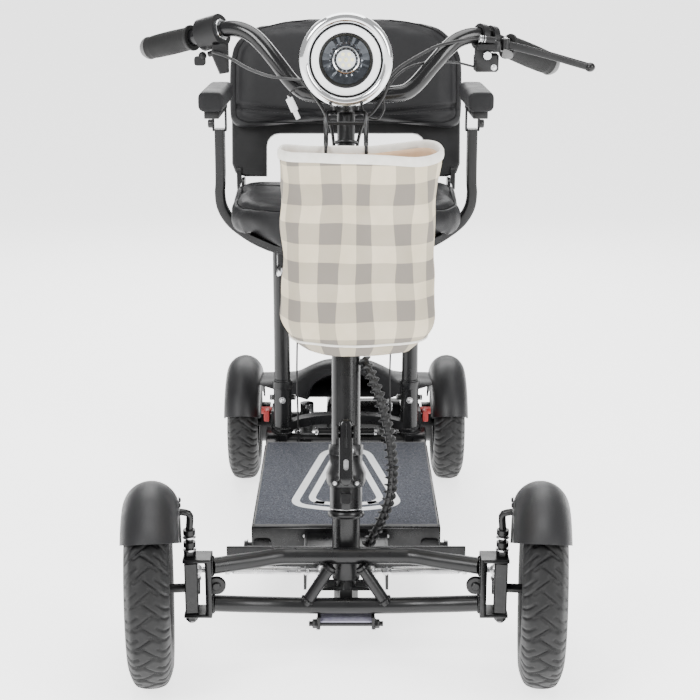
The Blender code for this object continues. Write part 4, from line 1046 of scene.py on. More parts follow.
def on_bar(distance, side):
    start, end = [Vector(p) for p in (BAR_LEFT if side > 0 else BAR_RIGHT)[-2:]]
    return start + (end - start).normalized() * distance


bar_line = list(reversed(BAR_RIGHT)) + [column(BAR_S)] + BAR_LEFT
add(
    "handlebar_fine", tube(smooth_path(bar_line, 10), TUBE_R, 32), "handlebar", GLOSS,
    "black_powder_coat", ["handlebar"]
)


def grips():
    for name, side in (("grip_left", 1), ("grip_right", -1)):
        start, end = on_bar(0.004, side), on_bar(0.086, side)
        length, bore = (end - start).length, TUBE_R + 0.0008
        profile = [
            (bore, 0), (0.0172, 0), (0.018, 0.0008), (0.018, 0.0032), (0.0168, 0.0048),
            (0.0157, 0.007)
        ]
        for i in range(22):
            h = 0.01 + i * (length - 0.018) / 22
            swell = 0.0157 + 0.0006 * sin(pi * i / 22)
            profile += [(swell, h), (swell + 0.0004, h + 0.0012), (swell, h + 0.0024)]
        profile += [(0.0157, length - 0.003), (0.016, length), (bore, length)]
        add(
            name + "_fine", lathe(profile, start, end - start, 56), "handlebar", GRIP, "grip_rubber",
            [name]
        )
        cap = [
            (0, length), (0.0161, length + 0.0002), (0.0163, length + 0.002), (0.015, length + 0.006),
            (0.012, length + 0.0105), (0.006, length + 0.0132), (0, length + 0.0138)
        ]
        add(name + "_cap", lathe(cap, start, end - start, 48), "handlebar", CAP_GREY, "grip_rubber")


grips()


def headlight():
    """The lamp: bowl, chrome rim, white halo, dark ring, and a faceted reflector round its LEDs."""
    out = (0, -1, 0)

    def turned(name, profile, look, slot, replaced=(), steps=96):
        add(name, lathe(profile, HEADLIGHT, out, steps), "handlebar", look, slot, replaced)

    bowl = [
        (0, -0.036), (0.016, -0.0355), (0.026, -0.032), (0.038, -0.026), (0.048, -0.0195),
        (0.0525, -0.0165), (0.0525, 0.0005), (0.05, 0.0005), (0.045, -0.008), (0, -0.01)
    ]
    stalk = rod(column(BAR_S + 0.019, -0.001), (0, 0.238, 0.792), 0.007, 24)
    add(
        "lamp_bowl", [lathe(bowl, HEADLIGHT, out, 96), stalk], "handlebar", DARK_PLASTIC,
        "black_plastic", ["headlight_shell"]
    )
    rim = [
        (0.0482, -0.015), (0.05, -0.018), (0.054, -0.0175), (0.0585, -0.01), (0.0616, -0.004),
        (0.0624, 0.0005), (0.0618, 0.004), (0.059, 0.0068), (0.0555, 0.0079), (0.052, 0.0072),
        (0.0495, 0.0052), (0.0482, 0.002)
    ]
    turned("lamp_rim", rim, CHROME, "lamp_glass")
    turned(
        "lamp_rim_seat",
        [(0.0462, -0.001), (0.048, -0.001), (0.048, 0.0018), (0.0476, 0.003), (0.0462, 0.003)],
        DARK_PLASTIC, "black_plastic"
    )
    turned(
        "lamp_halo",
        [
            (0.0362, -0.001), (0.0459, -0.001), (0.0461, 0.004), (0.0448, 0.0058), (0.0418, 0.0066),
            (0.0388, 0.0064), (0.0364, 0.0054)
        ],
        HALO, "lamp_glass"
    )
    turned(
        "lamp_collar",
        [
            (0.03, -0.006), (0.0359, -0.002), (0.0361, 0.0052), (0.035, 0.006), (0.033, 0.0042),
            (0.031, -0.001)
        ],
        DARK_PLASTIC, "black_plastic"
    )
    shape = bmesh.new()
    rows = [(0.032, 0.0005), (0.0275, -0.003), (0.0225, -0.006), (0.0175, -0.008), (0.0125, -0.009)]
    columns = 20
    turn = basis(out)
    rings = []
    for k, (radius, height) in enumerate(rows):
        ring = []
        for i in range(columns * 4):
            bulge = 0.0008 * abs(sin(pi * i / 4)) * (1 if k % 2 else 0.5)
            a = 2 * pi * i / (columns * 4)
            place = Vector((radius * cos(a), radius * sin(a), height + bulge))
            ring.append(shape.verts.new(HEADLIGHT + turn @ place))
        rings.append(ring)
    skin(shape, rings)
    shape.faces.new(rings[-1])
    bmesh.ops.recalc_face_normals(shape, faces=shape.faces)
    add("lamp_reflector", shape, "handlebar", BOWL, "lamp_glass", ["headlight_lens"], angle=12)
    board = rod(
        HEADLIGHT + Vector((0, 0.0095, 0)), HEADLIGHT + Vector((0, 0.0072, 0)), 0.0135, 48,
        round_by=0.0006
    )
    add("lamp_board", board, "handlebar", MIRROR, "lamp_glass")
    chips = []
    for i in range(6):
        a = 2 * pi * i / 6
        at = HEADLIGHT + Vector((0.0082 * cos(a), 0.0074, 0.0082 * sin(a)))
        chips.append(prism(rounded(0.0042, 0.0042, 0.001, (at.x, -at.z)), (0, at.y - 0.0016, 0), 0.0016))
    chips.append(ball(HEADLIGHT + Vector((0, 0.0066, 0)), 0.003))
    add("lamp_leds", chips, "handlebar", LED, "lamp_glass")
    hood = [(0.016, -0.005), (0.0168, -0.0032), (0.018, -0.0036), (0.0186, -0.0062), (0.0176, -0.0075)]
    turned("lamp_inner_ring", hood, CHROME, "lamp_glass")


headlight()


def controls():
    """Clamp bands, adjusters, the lever's finer blade and the switch details."""
    bar_a, bar_b = Vector(BAR_RIGHT[-3]), Vector(BAR_RIGHT[-2])
    along = (bar_b - bar_a).normalized()
    ring = pipe(bar_a - along * 0.001, bar_a + along * 0.0022, 0.0145, TUBE_R + 0.0004)
    barrel_l = rod((0.183, 0.2775, 0.8194), (0.2055, 0.28, 0.8164), 0.0046, 28, round_by=0.0008)
    knurl = [
        pipe(
            (0.183 + 0.0035 * i, 0.2775 + 0.0004 * i, 0.8194 - 0.0005 * i),
            (0.1848 + 0.0035 * i, 0.2777 + 0.0004 * i, 0.8191 - 0.0005 * i), 0.0054, 0.004, 24
        )
        for i in range(3)
    ]
    case_bolt = bolt((0.205, 0.2838, 0.7795), (0, -1, 0), 0.003, 0.0018)
    add("control_bright_parts", [ring, barrel_l, *knurl, *case_bolt], "handlebar", CHROME, "zinc")
    pivot = Vector((0.2205, 0.288, 0.8105))
    bends = (
        (0, 0, 0), (0.03, 0.003, -0.007), (0.065, 0.008, -0.016), (0.098, 0.013, -0.0255),
        (0.1215, 0.017, -0.0322)
    )
    route = smooth_path([pivot + Vector(p) for p in bends], 10)
    blade = sweep(route, rounded(0.0105, 0.0062, 0.0026), (0, 0, 1))
    tip = moved(ball((0, 0, 0), 0.0074, 28, 0.9), Matrix.Translation(route[-1]))
    hub = rod(pivot + Vector((0, 0, -0.008)), pivot + Vector((0, 0, 0.008)), 0.006, 28, round_by=0.0008)
    add("brake_blade", [blade, tip, hub], "brake", COAT, "black_powder_coat", ["brake_lever"])
    add(
        "brake_pivot_screw", bolt(pivot + Vector((0, 0, 0.0078)), (0, 0, 1), 0.003, 0.0018), "brake",
        ZINC, "zinc"
    )
    knob = [
        lathe(
            [(0, 0), (0.0062, 0), (0.0066, 0.003), (0.0055, 0.011), (0.003, 0.0145), (0, 0.015)],
            (0.2165, 0.283, 0.799), (1, -0.15, -0.25), 32
        )
    ]
    add("brake_adjuster", knob, "handlebar", CAP_GREY, "grip_rubber")


controls()


def wire(name, points, radius, replaced=()):
    shape = tube(smooth_path(points), radius, 16, near=(0.1, 0.2, 1))
    add(name, shape, "handlebar", WRAP, "black_plastic", replaced)


THROTTLE_CABLE = [
    (-0.1845, 0.282, 0.801), (-0.162, 0.27, 0.7944), (-0.133, 0.255, 0.7803), (-0.105, 0.245, 0.7713),
    (-0.08, 0.238, 0.7683), (-0.06, 0.232, 0.7667)
]
BRAKE_CABLE = [
    (0.1845, 0.277, 0.8192), (0.166, 0.262, 0.819), (0.127, 0.256, 0.8111), (0.099, 0.248, 0.7982),
    (0.074, 0.24, 0.784), (0.058, 0.234, 0.7699)
]
wire("throttle_cable_fine", THROTTLE_CABLE, 0.0021, replaced=["throttle_cable"])
wire("brake_cable_fine", BRAKE_CABLE, 0.0023, replaced=["brake_cable"])
wire(
    "switch_lead",
    [
        (0.179, 0.29, 0.78), (0.15, 0.275, 0.787), (0.11, 0.262, 0.788), (0.08, 0.254, 0.779),
        (0.06, 0.244, 0.76), (0.05, 0.236, 0.735)
    ],
    0.0016
)
wire(
    "lamp_lead",
    [
        (0.03, 0.236, 0.766), (0.046, 0.236, 0.748), (0.052, 0.236, 0.73), (0.044, 0.238, 0.714),
        (0.03, 0.24, 0.716), (0.022, 0.238, 0.73), (0.018, 0.236, 0.752)
    ],
    0.0015
)
wire(
    "bar_lead_left",
    [
        (0.058, 0.2335, 0.769), (0.054, 0.23, 0.752), (0.04, 0.235, 0.728), (0.026, 0.24, 0.712),
        (0.018, 0.242, 0.69), (0.014, 0.24, 0.668)
    ],
    0.0022
)
wire(
    "bar_lead_right",
    [
        (-0.06, 0.232, 0.7665), (-0.046, 0.236, 0.749), (-0.03, 0.24, 0.724), (-0.02, 0.242, 0.7),
        (-0.016, 0.24, 0.672)
    ],
    0.0022
)
wire(
    "connector_lead",
    [(-0.04, 0.232, 0.752), (-0.056, 0.236, 0.757), (-0.071, 0.238, 0.754), (-0.0785, 0.239, 0.7445)],
    0.0012
)
tilt = Matrix.Translation((-0.074, 0.239, 0.734)) @ Matrix.Rotation(radians(-24), 4, "Y")
plug = [
    moved(s, tilt)
    for s in (
        block((-0.005, -0.003, -0.0105), (0.005, 0.003, 0.009), 0.0012),
        block((-0.0032, -0.002, -0.022), (0.0032, 0.002, -0.0108), 0.0008),
        block((-0.0012, -0.001, 0.0085), (0.0012, 0.001, 0.0125), 0.0003)
    )
]
add("connector_plug", plug, "handlebar", WHITE_PAINT, "lamp_glass")
ties = [pipe(column(s, -0.001), column(s + 0.0025, -0.001), 0.0165, 0.0145) for s in (0.566, 0.6)]
add("stem_ties", ties, "handlebar", WRAP, "black_plastic")


def wrapped(name, body, points, replaced):
    """A wiring loom in black spiral wrap, the turns standing proud of the wires inside."""
    path = smooth_path(points, 14)
    core = tube(path, 0.005, 16, near=(1, 0.2, 0))
    lengths = [0.0]
    for a, b in zip(path, path[1:]):
        lengths.append(lengths[-1] + (b - a).length)
    pitch, radius, steps = 0.0105, 0.0055, 14
    turns = int(lengths[-1] / pitch * steps)
    line = []
    for i in range(turns + 1):
        s = lengths[-1] * i / turns
        k = max(j for j in range(len(path) - 1) if lengths[j] <= s + 1e-9)
        t = (s - lengths[k]) / (lengths[k + 1] - lengths[k])
        frame_here = basis(path[min(k + 1, len(path) - 1)] - path[k], (1, 0.2, 0))
        a = 2 * pi * i / steps
        line.append(
            path[k].lerp(path[k + 1], t) + frame_here @ Vector((radius * cos(a), radius * sin(a), 0))
        )
    wrap = sweep(line, rounded(0.0082, 0.0018, 0.0008, steps=2), (1, 0.2, 0))
    add(name, [core, wrap], body, WRAP, "black_plastic", replaced)


UPPER_HARNESS = [
    column(0.306, -0.006, 0.0245), column(0.285, -0.01, 0.033), column(0.25, -0.01, 0.046),
    column(0.205, -0.006, 0.057), column(0.16, 0.002, 0.063)
]
LOWER_HARNESS = [
    column(0.158, 0.0025, 0.0632), column(0.118, 0.012, 0.06), column(0.085, 0.02, 0.0495),
    column(0.058, 0.028, 0.036), column(0.047, 0.036, 0.03)
]
wrapped("upper_loom", "stem", UPPER_HARNESS, ["stem_harness"])
wrapped("lower_loom", "steering", LOWER_HARNESS, ["column_harness"])


# ---------------------------------------------------------------- deck


def deck():
    top = DECK_TOP
    mat = prism(
        rounded(0.268, 0.352, 0.004, (0, 0.367)), (0, 0, 0.1316), 0.0034, (1, 0, 0), (0, 0, 1), 0.0009
    )
    add("deck_grip_mat", mat, "scooter", GRIT, "deck_grit", ["deck_mat"])
    trim = []
    edge, front_edge, back_edge = 0.1337, 0.1915, 0.5425
    corners = (-edge, front_edge), (edge, front_edge), (-edge, back_edge), (edge, back_edge)
    for (x0, y0), (x1, y1) in ((corners[i], corners[j]) for i, j in ((0, 1), (0, 2), (1, 3), (2, 3))):
        low = x0 - 0.001, y0 - 0.0008, 0.1322
        trim.append(block(low, (x1 + 0.001, y1 + 0.0008, top + 0.0006), 0.0004))
    add("deck_edge_trim", trim, "scooter", CAP_GREY, "black_plastic")

    def outline(corners, radius):
        """The closed line through the corners, each rounded."""
        points = []
        count = len(corners)
        for i in range(count):
            before, here, after = (Vector(corners[k % count]) for k in (i - 1, i, i + 1))
            r = radius[i]
            p, q = here + (before - here).normalized() * r, here + (after - here).normalized() * r
            points += [p.lerp(here, t).lerp(here.lerp(q, t), t) for t in [k / 8 for k in range(9)]]
        return points

    for name, shrink in (("deck_line_outer", 0.0), ("deck_line_inner", 1.0)):
        wide = [
            (-0.08 + 0.025 * shrink, 0.267 + 0.013 * shrink), (0, 0.24 + 0.02 * shrink),
            (0.08 - 0.025 * shrink, 0.267 + 0.013 * shrink),
            (0.033 - 0.017 * shrink, 0.506 - 0.022 * shrink),
            (-0.033 + 0.017 * shrink, 0.506 - 0.022 * shrink)
        ]
        line = outline(wide, (0.024, 0.05, 0.024, 0.03 - 0.012 * shrink, 0.03 - 0.012 * shrink))
        shape = bmesh.new()
        rings = []
        thick = 0.006 - 0.0008 * shrink
        for i, p in enumerate(line):
            side = (line[(i + 1) % len(line)] - line[i - 1]).normalized()
            normal = Vector((-side.y, side.x))
            ring = []
            for offset, z in (
                (-thick, top - 0.0002), (-thick, top + 0.00035), (thick, top + 0.00035),
                (thick, top - 0.0002)
            ):
                ring.append(shape.verts.new((p.x + normal.x * offset, p.y + normal.y * offset, z)))
            rings.append(ring)
        skin(shape, rings, round_trip=True)
        bmesh.ops.recalc_face_normals(shape, faces=shape.faces)
        add(name, shape, "scooter", WHITE_PAINT, "deck_grit")


deck()


# ---------------------------------------------------------------- basket

BASKET_X, BASKET_HALF, BASKET_FRONT, BASKET_BACK = 0.011, 0.096, 0.01, 0.124
BASKET_BOTTOM, BASKET_TOP = 0.424, 0.69


def basket():
    """A canvas bag: a soft lofted shell with wrinkles, a slumped base, a banded mouth and wire hooks."""
    around, rows = 112, 46
    middle = Vector((BASKET_X + 0.0035, (BASKET_FRONT + BASKET_BACK) / 2))
    reach = Vector((BASKET_HALF, (BASKET_BACK - BASKET_FRONT) / 2))

    def bag(inwards, base, top, wrinkle):
        shape = bmesh.new()
        rings = []
        for j in range(rows + 1):
            t = j / rows
            z = base + (top - base) * t
            drop = max(0.0, 1 - (z - base) / 0.05)
            shrink = 1 - 0.3 * drop**2.6
            belly = 1 + 0.012 * sin(pi * min(1, t * 1.15)) + 0.03 * t**3
            ring = []
            for i in range(around):
                a = 2 * pi * i / around
                c, s = cos(a), sin(a)
                power = 0.62
                x = abs(c) ** power * (1 if c > 0 else -1) * (reach.x - inwards) * shrink * belly
                y = abs(s) ** power * (1 if s > 0 else -1) * (reach.y - inwards) * (shrink * 0.6 + 0.4)
                fold = noise.noise(Vector((x * 11 + z * 5, y * 9, z * 6))) * 0.0042
                fold += noise.noise(Vector((x * 34 + z * 14, y * 24, z * 11 + 5))) * 0.003
                fold += noise.noise(Vector((x * 30, y * 30, z * 34 + 9))) * 0.0022 * (0.4 + drop)
                slump = -0.0085 * drop * cos(x / reach.x * 1.3) + 0.0085 * drop
                edge = 0.0035 * sin(a * 2 + 0.6) * t**6 + 0.002 * sin(a * 3) * t**6
                out = Vector((c, s)) * fold * wrinkle
                ring.append(
                    shape.verts.new((middle.x + x + out.x, middle.y + y + out.y, z + slump * 0.5 + edge))
                )
            rings.append(ring)
        skin(shape, rings)
        floor = rings[0]
        centre = shape.verts.new((middle.x, middle.y, floor[0].co.z - 0.0035))
        half = [shape.verts.new(v.co.lerp(centre.co, 0.5) + Vector((0, 0, -0.0012))) for v in floor]
        for i in range(around):
            k = (i + 1) % around
            shape.faces.new((floor[i], floor[k], half[k], half[i]))
            shape.faces.new((half[i], half[k], centre))
        bmesh.ops.recalc_face_normals(shape, faces=shape.faces)
        return shape, [v.co.copy() for v in rings[-1]], [v.co.copy() for v in rings[3]]

    outer, mouth, hem = bag(0.0, BASKET_BOTTOM + 0.016, BASKET_TOP + 0.003, 1.8)
    piece = add("basket_canvas", outer, "handlebar", CANVAS, "canvas", ["basket"], angle=80)
    step = piece.modifiers.new("Cloth thickness", "SOLIDIFY")
    step.thickness, step.offset = 0.0016, -1
    lining, _, _ = bag(0.0034, BASKET_BOTTOM + 0.021, BASKET_TOP - 0.003, 1.8)
    piece = add("basket_lining", lining, "handlebar", LINING, "canvas", angle=80)
    step = piece.modifiers.new("Cloth thickness", "SOLIDIFY")
    step.thickness, step.offset = 0.001, -1

    def loop(points, section, name, look, shift=0.0):
        shape = bmesh.new()
        centre = sum(points, Vector()) / len(points)
        rings = []
        for p in points:
            out = Vector((p.x - centre.x, p.y - centre.y, 0)).normalized()
            rings.append([shape.verts.new(p + out * u + Vector((0, 0, w + shift))) for u, w in section])
        skin(shape, rings, round_trip=True)
        bmesh.ops.recalc_face_normals(shape, faces=shape.faces)
        add(name, shape, "handlebar", look, "canvas", angle=80)

    band = [
        (0.0016, -0.008), (0.0022, -0.0035), (0.0019, 0.001), (0.0006, 0.0034), (-0.0016, 0.0038),
        (-0.0036, 0.0016), (-0.0042, -0.0035), (-0.0038, -0.008)
    ]
    loop(mouth, band, "basket_mouth_band", TAPE)
    loop(hem, round_section(0.0016, 10), "basket_piping", TAPE, -0.001)
    hooks = []
    for x in (-0.026, 0.026):
        foot = Vector((x, BASKET_BACK + 0.0045, BASKET_TOP - 0.03))
        route = [
            foot, foot + Vector((0, 0, 0.03)), (x, 0.15, 0.713), (x, 0.205, 0.724),
            (x * 0.55, 0.232, 0.7235)
        ]
        hooks.append(tube(smooth_path(route, 8), 0.003, 20, near=(1, 0, 0)))
        bends = (0, 0.026), (-0.004, 0.034), (-0.012, 0.03), (-0.0135, 0.016)
        hook = [foot + Vector((0, y, z)) for y, z in bends]
        hooks.append(tube(smooth_path(hook, 6), 0.0022, 16, near=(1, 0, 0)))
    hooks.append(rod((-0.026, 0.166, 0.7165), (0.026, 0.166, 0.7165), 0.0022, 20))
    plate = block(
        (-0.06, BASKET_BACK + 0.0008, BASKET_TOP - 0.045),
        (0.06, BASKET_BACK + 0.004, BASKET_TOP - 0.012), 0.001
    )
    band_ring = pipe(column(0.64), column(0.65), 0.018, 0.0121)
    add(
        "basket_hooks", [plate, *hooks, band_ring], "handlebar", COAT, "black_powder_coat",
        ["basket_hanger"]
    )


basket()


# ---------------------------------------------------------------- seat


def slab_mesh(outline, place, low, high, rows=1):
    """A closed block over an outline: place(x, y, h) puts each point, h runs from low to high."""
    shape = bmesh.new()
    rings = []
    for j in range(rows + 1):
        h = low + (high - low) * j / rows
        rings.append([shape.verts.new(place(x, y, h)) for x, y in outline])
    return closed(skin(shape, rings, caps=True))


def puffed(shape, cap, limit):
    """Stuffs the shape by cloth pressure. No point moves further than cap or past its limits."""
    mesh = bpy.data.meshes.new("pad")
    bmesh.ops.translate(shape, vec=ORIGIN, verts=shape.verts)
    shape.to_mesh(mesh)
    shape.free()
    obj = bpy.data.objects.new("pad", mesh)
    bpy.context.scene.collection.objects.link(obj)
    step = obj.modifiers.new("Remesh", "REMESH")
    step.mode, step.voxel_size = "VOXEL", VOXEL
    bpy.context.view_layer.update()
    bake(obj)
    before = np.empty(len(obj.data.vertices) * 3, np.float32)
    obj.data.vertices.foreach_get("co", before)
    before = before.reshape(-1, 3)
    cloth = obj.modifiers.new("Cloth", "CLOTH")
    settings = cloth.settings
    settings.quality, settings.mass = 5, 0.3
    settings.use_pressure, settings.uniform_pressure_force = True, 4.0
    settings.tension_stiffness = settings.compression_stiffness = settings.shear_stiffness = 25
    settings.bending_stiffness = 1.5
    settings.effector_weights.gravity = 0
    cloth.point_cache.frame_start, cloth.point_cache.frame_end = 1, 20
    for number in range(1, 21):
        bpy.context.scene.frame_set(number)
    bake(obj)
    bpy.context.scene.frame_set(1)
    after = np.empty(len(obj.data.vertices) * 3, np.float32)
    obj.data.vertices.foreach_get("co", after)
    after = after.reshape(-1, 3)
    move = after - before
    length = np.linalg.norm(move, axis=1, keepdims=True)
    after = before + move * np.minimum(1, cap / np.maximum(length, 1e-9))
    after = np.array([limit(Vector(p) - ORIGIN) + ORIGIN for p in after.tolist()], np.float32)
    obj.data.vertices.foreach_set("co", after.ravel())
    step = obj.modifiers.new("Smooth", "SMOOTH")
    step.factor, step.iterations = 0.5, 18
    step = obj.modifiers.new("Finer", "SUBSURF")
    step.levels = step.render_levels = 1
    bpy.context.view_layer.update()
    bake(obj)
    made = obj.data
    bpy.data.objects.remove(obj)
    smooth = np.empty(len(made.vertices) * 3, np.float32)
    made.vertices.foreach_get("co", smooth)
    smooth = smooth.reshape(-1, 3)
    stretch = np.ptp(after, axis=0) / np.ptp(smooth, axis=0)
    made.vertices.foreach_set("co", (after.min(0) + (smooth - smooth.min(0)) * stretch).ravel())
    return made


def creases(mesh, grooves):
    """Sinks sewn channels into a mesh. Each groove is (points, width, depth, direction)."""
    for points, width, depth, direction in grooves:
        path = np.array([tuple(Vector(p) + ORIGIN) for p in points])
        direction = np.array(tuple(direction))
        co = np.empty(len(mesh.vertices) * 3, np.float64)
        mesh.vertices.foreach_get("co", co)
        co = co.reshape(-1, 3)
        normal = np.empty(len(mesh.vertices) * 3, np.float64)
        mesh.vertices.foreach_get("normal", normal)
        facing = np.clip(normal.reshape(-1, 3) @ direction, 0, 1)
        nearest = np.full(len(co), 1.0)
        flat = co - np.outer(co @ direction, direction)
        for a, b in zip(path[:-1], path[1:]):
            a, b = a - (a @ direction) * direction, b - (b @ direction) * direction
            ab = b - a
            t = np.clip(((flat - a) @ ab) / max(ab @ ab, 1e-12), 0, 1)
            nearest = np.minimum(nearest, np.linalg.norm(flat - a - t[:, None] * ab, axis=1))
        fall = np.exp(-((nearest / width) ** 2)) * facing
        mesh.vertices.foreach_set("co", (co - np.outer(fall * depth, direction)).ravel())


def seam_cord(points, radius, sides=10):
    """Piping along a closed line."""
    path = [Vector(p) for p in points]
    shape = bmesh.new()
    rings = []
    count = len(path)
    for i, p in enumerate(path):
        ahead = path[(i + 1) % count] - path[i - 1]
        turn = basis(ahead, (0.13, 0.27, 1))
        rings.append(
            [shape.verts.new(p + turn @ Vector((x, y, 0))) for x, y in round_section(radius, sides)]
        )
    return closed(skin(shape, rings, round_trip=True))


def stitches(points, spacing, size, out):
    """Short thread runs along a line."""
    path = [Vector(p) for p in points]
    shapes, gone = [], 0.0
    for a, b in zip(path, path[1:]):
        length = (b - a).length
        while gone <= length:
            at = a.lerp(b, gone / length)
            along = (b - a).normalized()
            shapes.append(
                rod(at - along * size + out * 0.0002, at + along * size + out * 0.0002, 0.00045, 6)
            )
            gone += spacing
        gone -= length
    return shapes


def on_mesh(mesh, points, direction, lift=0.0):
    """Each point dropped onto the mesh along a direction, then lifted off it a little."""
    tree = BVHTree.FromPolygons(
        [v.co.copy() for v in mesh.vertices], [list(p.vertices) for p in mesh.polygons]
    )
    made = []
    for p in points:
        start = Vector(p) + ORIGIN - direction * 0.12
        hit = tree.ray_cast(start, direction)[0]
        if hit is not None:
            made.append(hit - ORIGIN - direction * lift)
    return made


def seat_plan(inset, steps=14):
    half, start, end = SEAT_HALF - inset, SEAT_FRONT + inset, SEAT_BACK - inset
    reach, depth, corner = 0.118 - inset / 2, 0.135 - inset / 2, 0.025
    angles = [pi / 2 * i / steps for i in range(steps + 1)]
    right = [(half - reach + reach * sin(a), start + depth * (1 - cos(a))) for a in angles]
    right += [(half - corner + corner * cos(a), end - corner + corner * sin(a)) for a in angles[::2]]
    return right + [(-x, y) for x, y in reversed(right)]


def seat_under(x):
    return SEAT_BOTTOM + 0.062 * (abs(x) / SEAT_HALF) ** 2.6


def seat_low(x, y):
    """The cushion's underside: it bulges down at the sides, less over the armrest bar than elsewhere."""
    t = max(0.0, min(1.0, (abs(x) - 0.1505) / 0.013))
    away = max(0.0, min(1.0, (abs(y - ARM_Y) - 0.015) / 0.02))
    drop = (0.0185 + 0.011 * away) * t * t * (3 - 2 * t)
    return seat_under(min(abs(x), SEAT_HALF)) - drop + 0.0004


def seat_pad():
    def place(x, y, h):
        low = seat_low(x, y) + 0.0006
        return Vector((x, y, low + (SEAT_TOP - 0.008 - low) * h))

    def limit(p):
        x, y = max(-0.1948, min(0.1948, p.x)), max(0.4165, min(0.7245, p.y))
        return Vector((x, y, max(seat_low(x, y), min(0.56, p.z))))

    dense = []
    plan = seat_plan(0.003)
    for a, b in zip(plan, plan[1:] + plan[:1]):
        dense += [(a[0] + (b[0] - a[0]) * t, a[1] + (b[1] - a[1]) * t) for t in (0, 0.5)]
    shape = slab_mesh(dense, place, 0, 1, 6)
    mesh = puffed(shape, 0.012, limit)
    down = Vector((0, 0, -1))
    ring = [(x * 0.955, 0.571 + (y - 0.571) * 0.925, SEAT_TOP) for x, y in seat_plan(0.01)]
    ring.append(ring[0])
    across = [(-0.15 + 0.3 * i / 12, 0.64 + 0.01 * cos(i / 12 * 2 * pi), SEAT_TOP) for i in range(13)]
    creases(mesh, [(ring, 0.0035, 0.0035, (0, 0, 1)), (across, 0.004, 0.004, (0, 0, 1))])
    lines = on_mesh(mesh, ring, down, 0.0001)
    pad = from_mesh("seat_pad", mesh, "seat", VINYL, "black_vinyl", ["seat_cushion"], angle=70)
    add("seat_piping", seam_cord(lines[:-1], 0.0013), "seat", PIPING, "black_vinyl", angle=80)
    add(
        "seat_stitching",
        stitches(on_mesh(mesh, across, down, 0.0001), 0.0058, 0.0019, Vector((0, 0, 1))), "seat",
        DARK_PLASTIC, "black_vinyl"
    )


seat_pad()

LEAN = Vector((0, sin(RECLINE), cos(RECLINE)))
FACE_OUT = Vector((0, -cos(RECLINE), sin(RECLINE)))


def back_point(x, h, out):
    """A point on the backrest: x across, h up its face from the hinge, out towards the rider."""
    return BACKREST_HINGE + LEAN * h + FACE_OUT * out + Vector((x, 0, 0))


def shouldered(half, low, high):
    right = [(half - 0.022, low), (half - 0.006, low + 0.006), (half, low + 0.022), (half, high - 0.083)]
    drops = (
        (0.003, 0.068), (0.006, 0.054), (0.017, 0.038), (0.036, 0.023), (0.06, 0.013), (0.09, 0.006),
        (0.135, 0.001)
    )
    right += [(half - inwards, high - drop) for inwards, drop in drops]
    line = smooth_path([(x, h, 0) for x, h in right], 3)
    right = [(p.x, p.y) for p in line]
    return right + [(-x, h) for x, h in reversed(right)]


def back_pad():
    def limit(p):
        q = p - BACKREST_HINGE
        h, out, x = q.dot(LEAN), q.dot(FACE_OUT), p.x
        return back_point(
            max(-0.2045, min(0.2045, x)), max(0.0915, min(0.2945, h)), max(0.0087, min(0.056, out))
        )

    outline = shouldered(0.2015, 0.0965, 0.2905)
    shape = slab_mesh(outline, lambda x, h, t: back_point(x, h, 0.012 + 0.03 * t), 0, 1, 4)
    mesh = puffed(shape, 0.014, limit)
    into = -FACE_OUT
    bow = [back_point(-0.188 + 0.376 * i / 20, 0.132 - 0.014 * sin(pi * i / 20), 0.05) for i in range(21)]
    ring = [
        back_point(x * 0.93, 0.193 + (h - 0.193) * 0.87, 0.05) for x,
        h in shouldered(0.1975, 0.1005, 0.2865)
    ]
    ring.append(ring[0])
    creases(
        mesh,
        [
            ([tuple(p) for p in bow], 0.0045, 0.006, FACE_OUT),
            ([tuple(p) for p in ring], 0.003, 0.0022, FACE_OUT)
        ]
    )
    pad = from_mesh("backrest_pad", mesh, "backrest", VINYL, "black_vinyl", ["backrest_cushion"], angle=70)
    edge = [
        tuple(back_point(x * 0.965, 0.193 + (h - 0.193) * 0.955, 0.05)) for x,
        h in shouldered(0.1975, 0.1005, 0.2865)
    ]
    add(
        "backrest_piping", seam_cord(on_mesh(mesh, edge, into, 0.0003), 0.0013), "backrest", PIPING,
        "black_vinyl", angle=80
    )
    threads = []
    for shift in (-0.0045, 0.0045):
        line = on_mesh(mesh, [tuple(p + LEAN * shift) for p in bow], into, 0.0001)
        if len(line) > 6:
            threads += stitches(line, 0.006, 0.0019, FACE_OUT)
    if threads:
        add("backrest_stitching", threads, "backrest", DARK_PLASTIC, "black_vinyl")


back_pad()


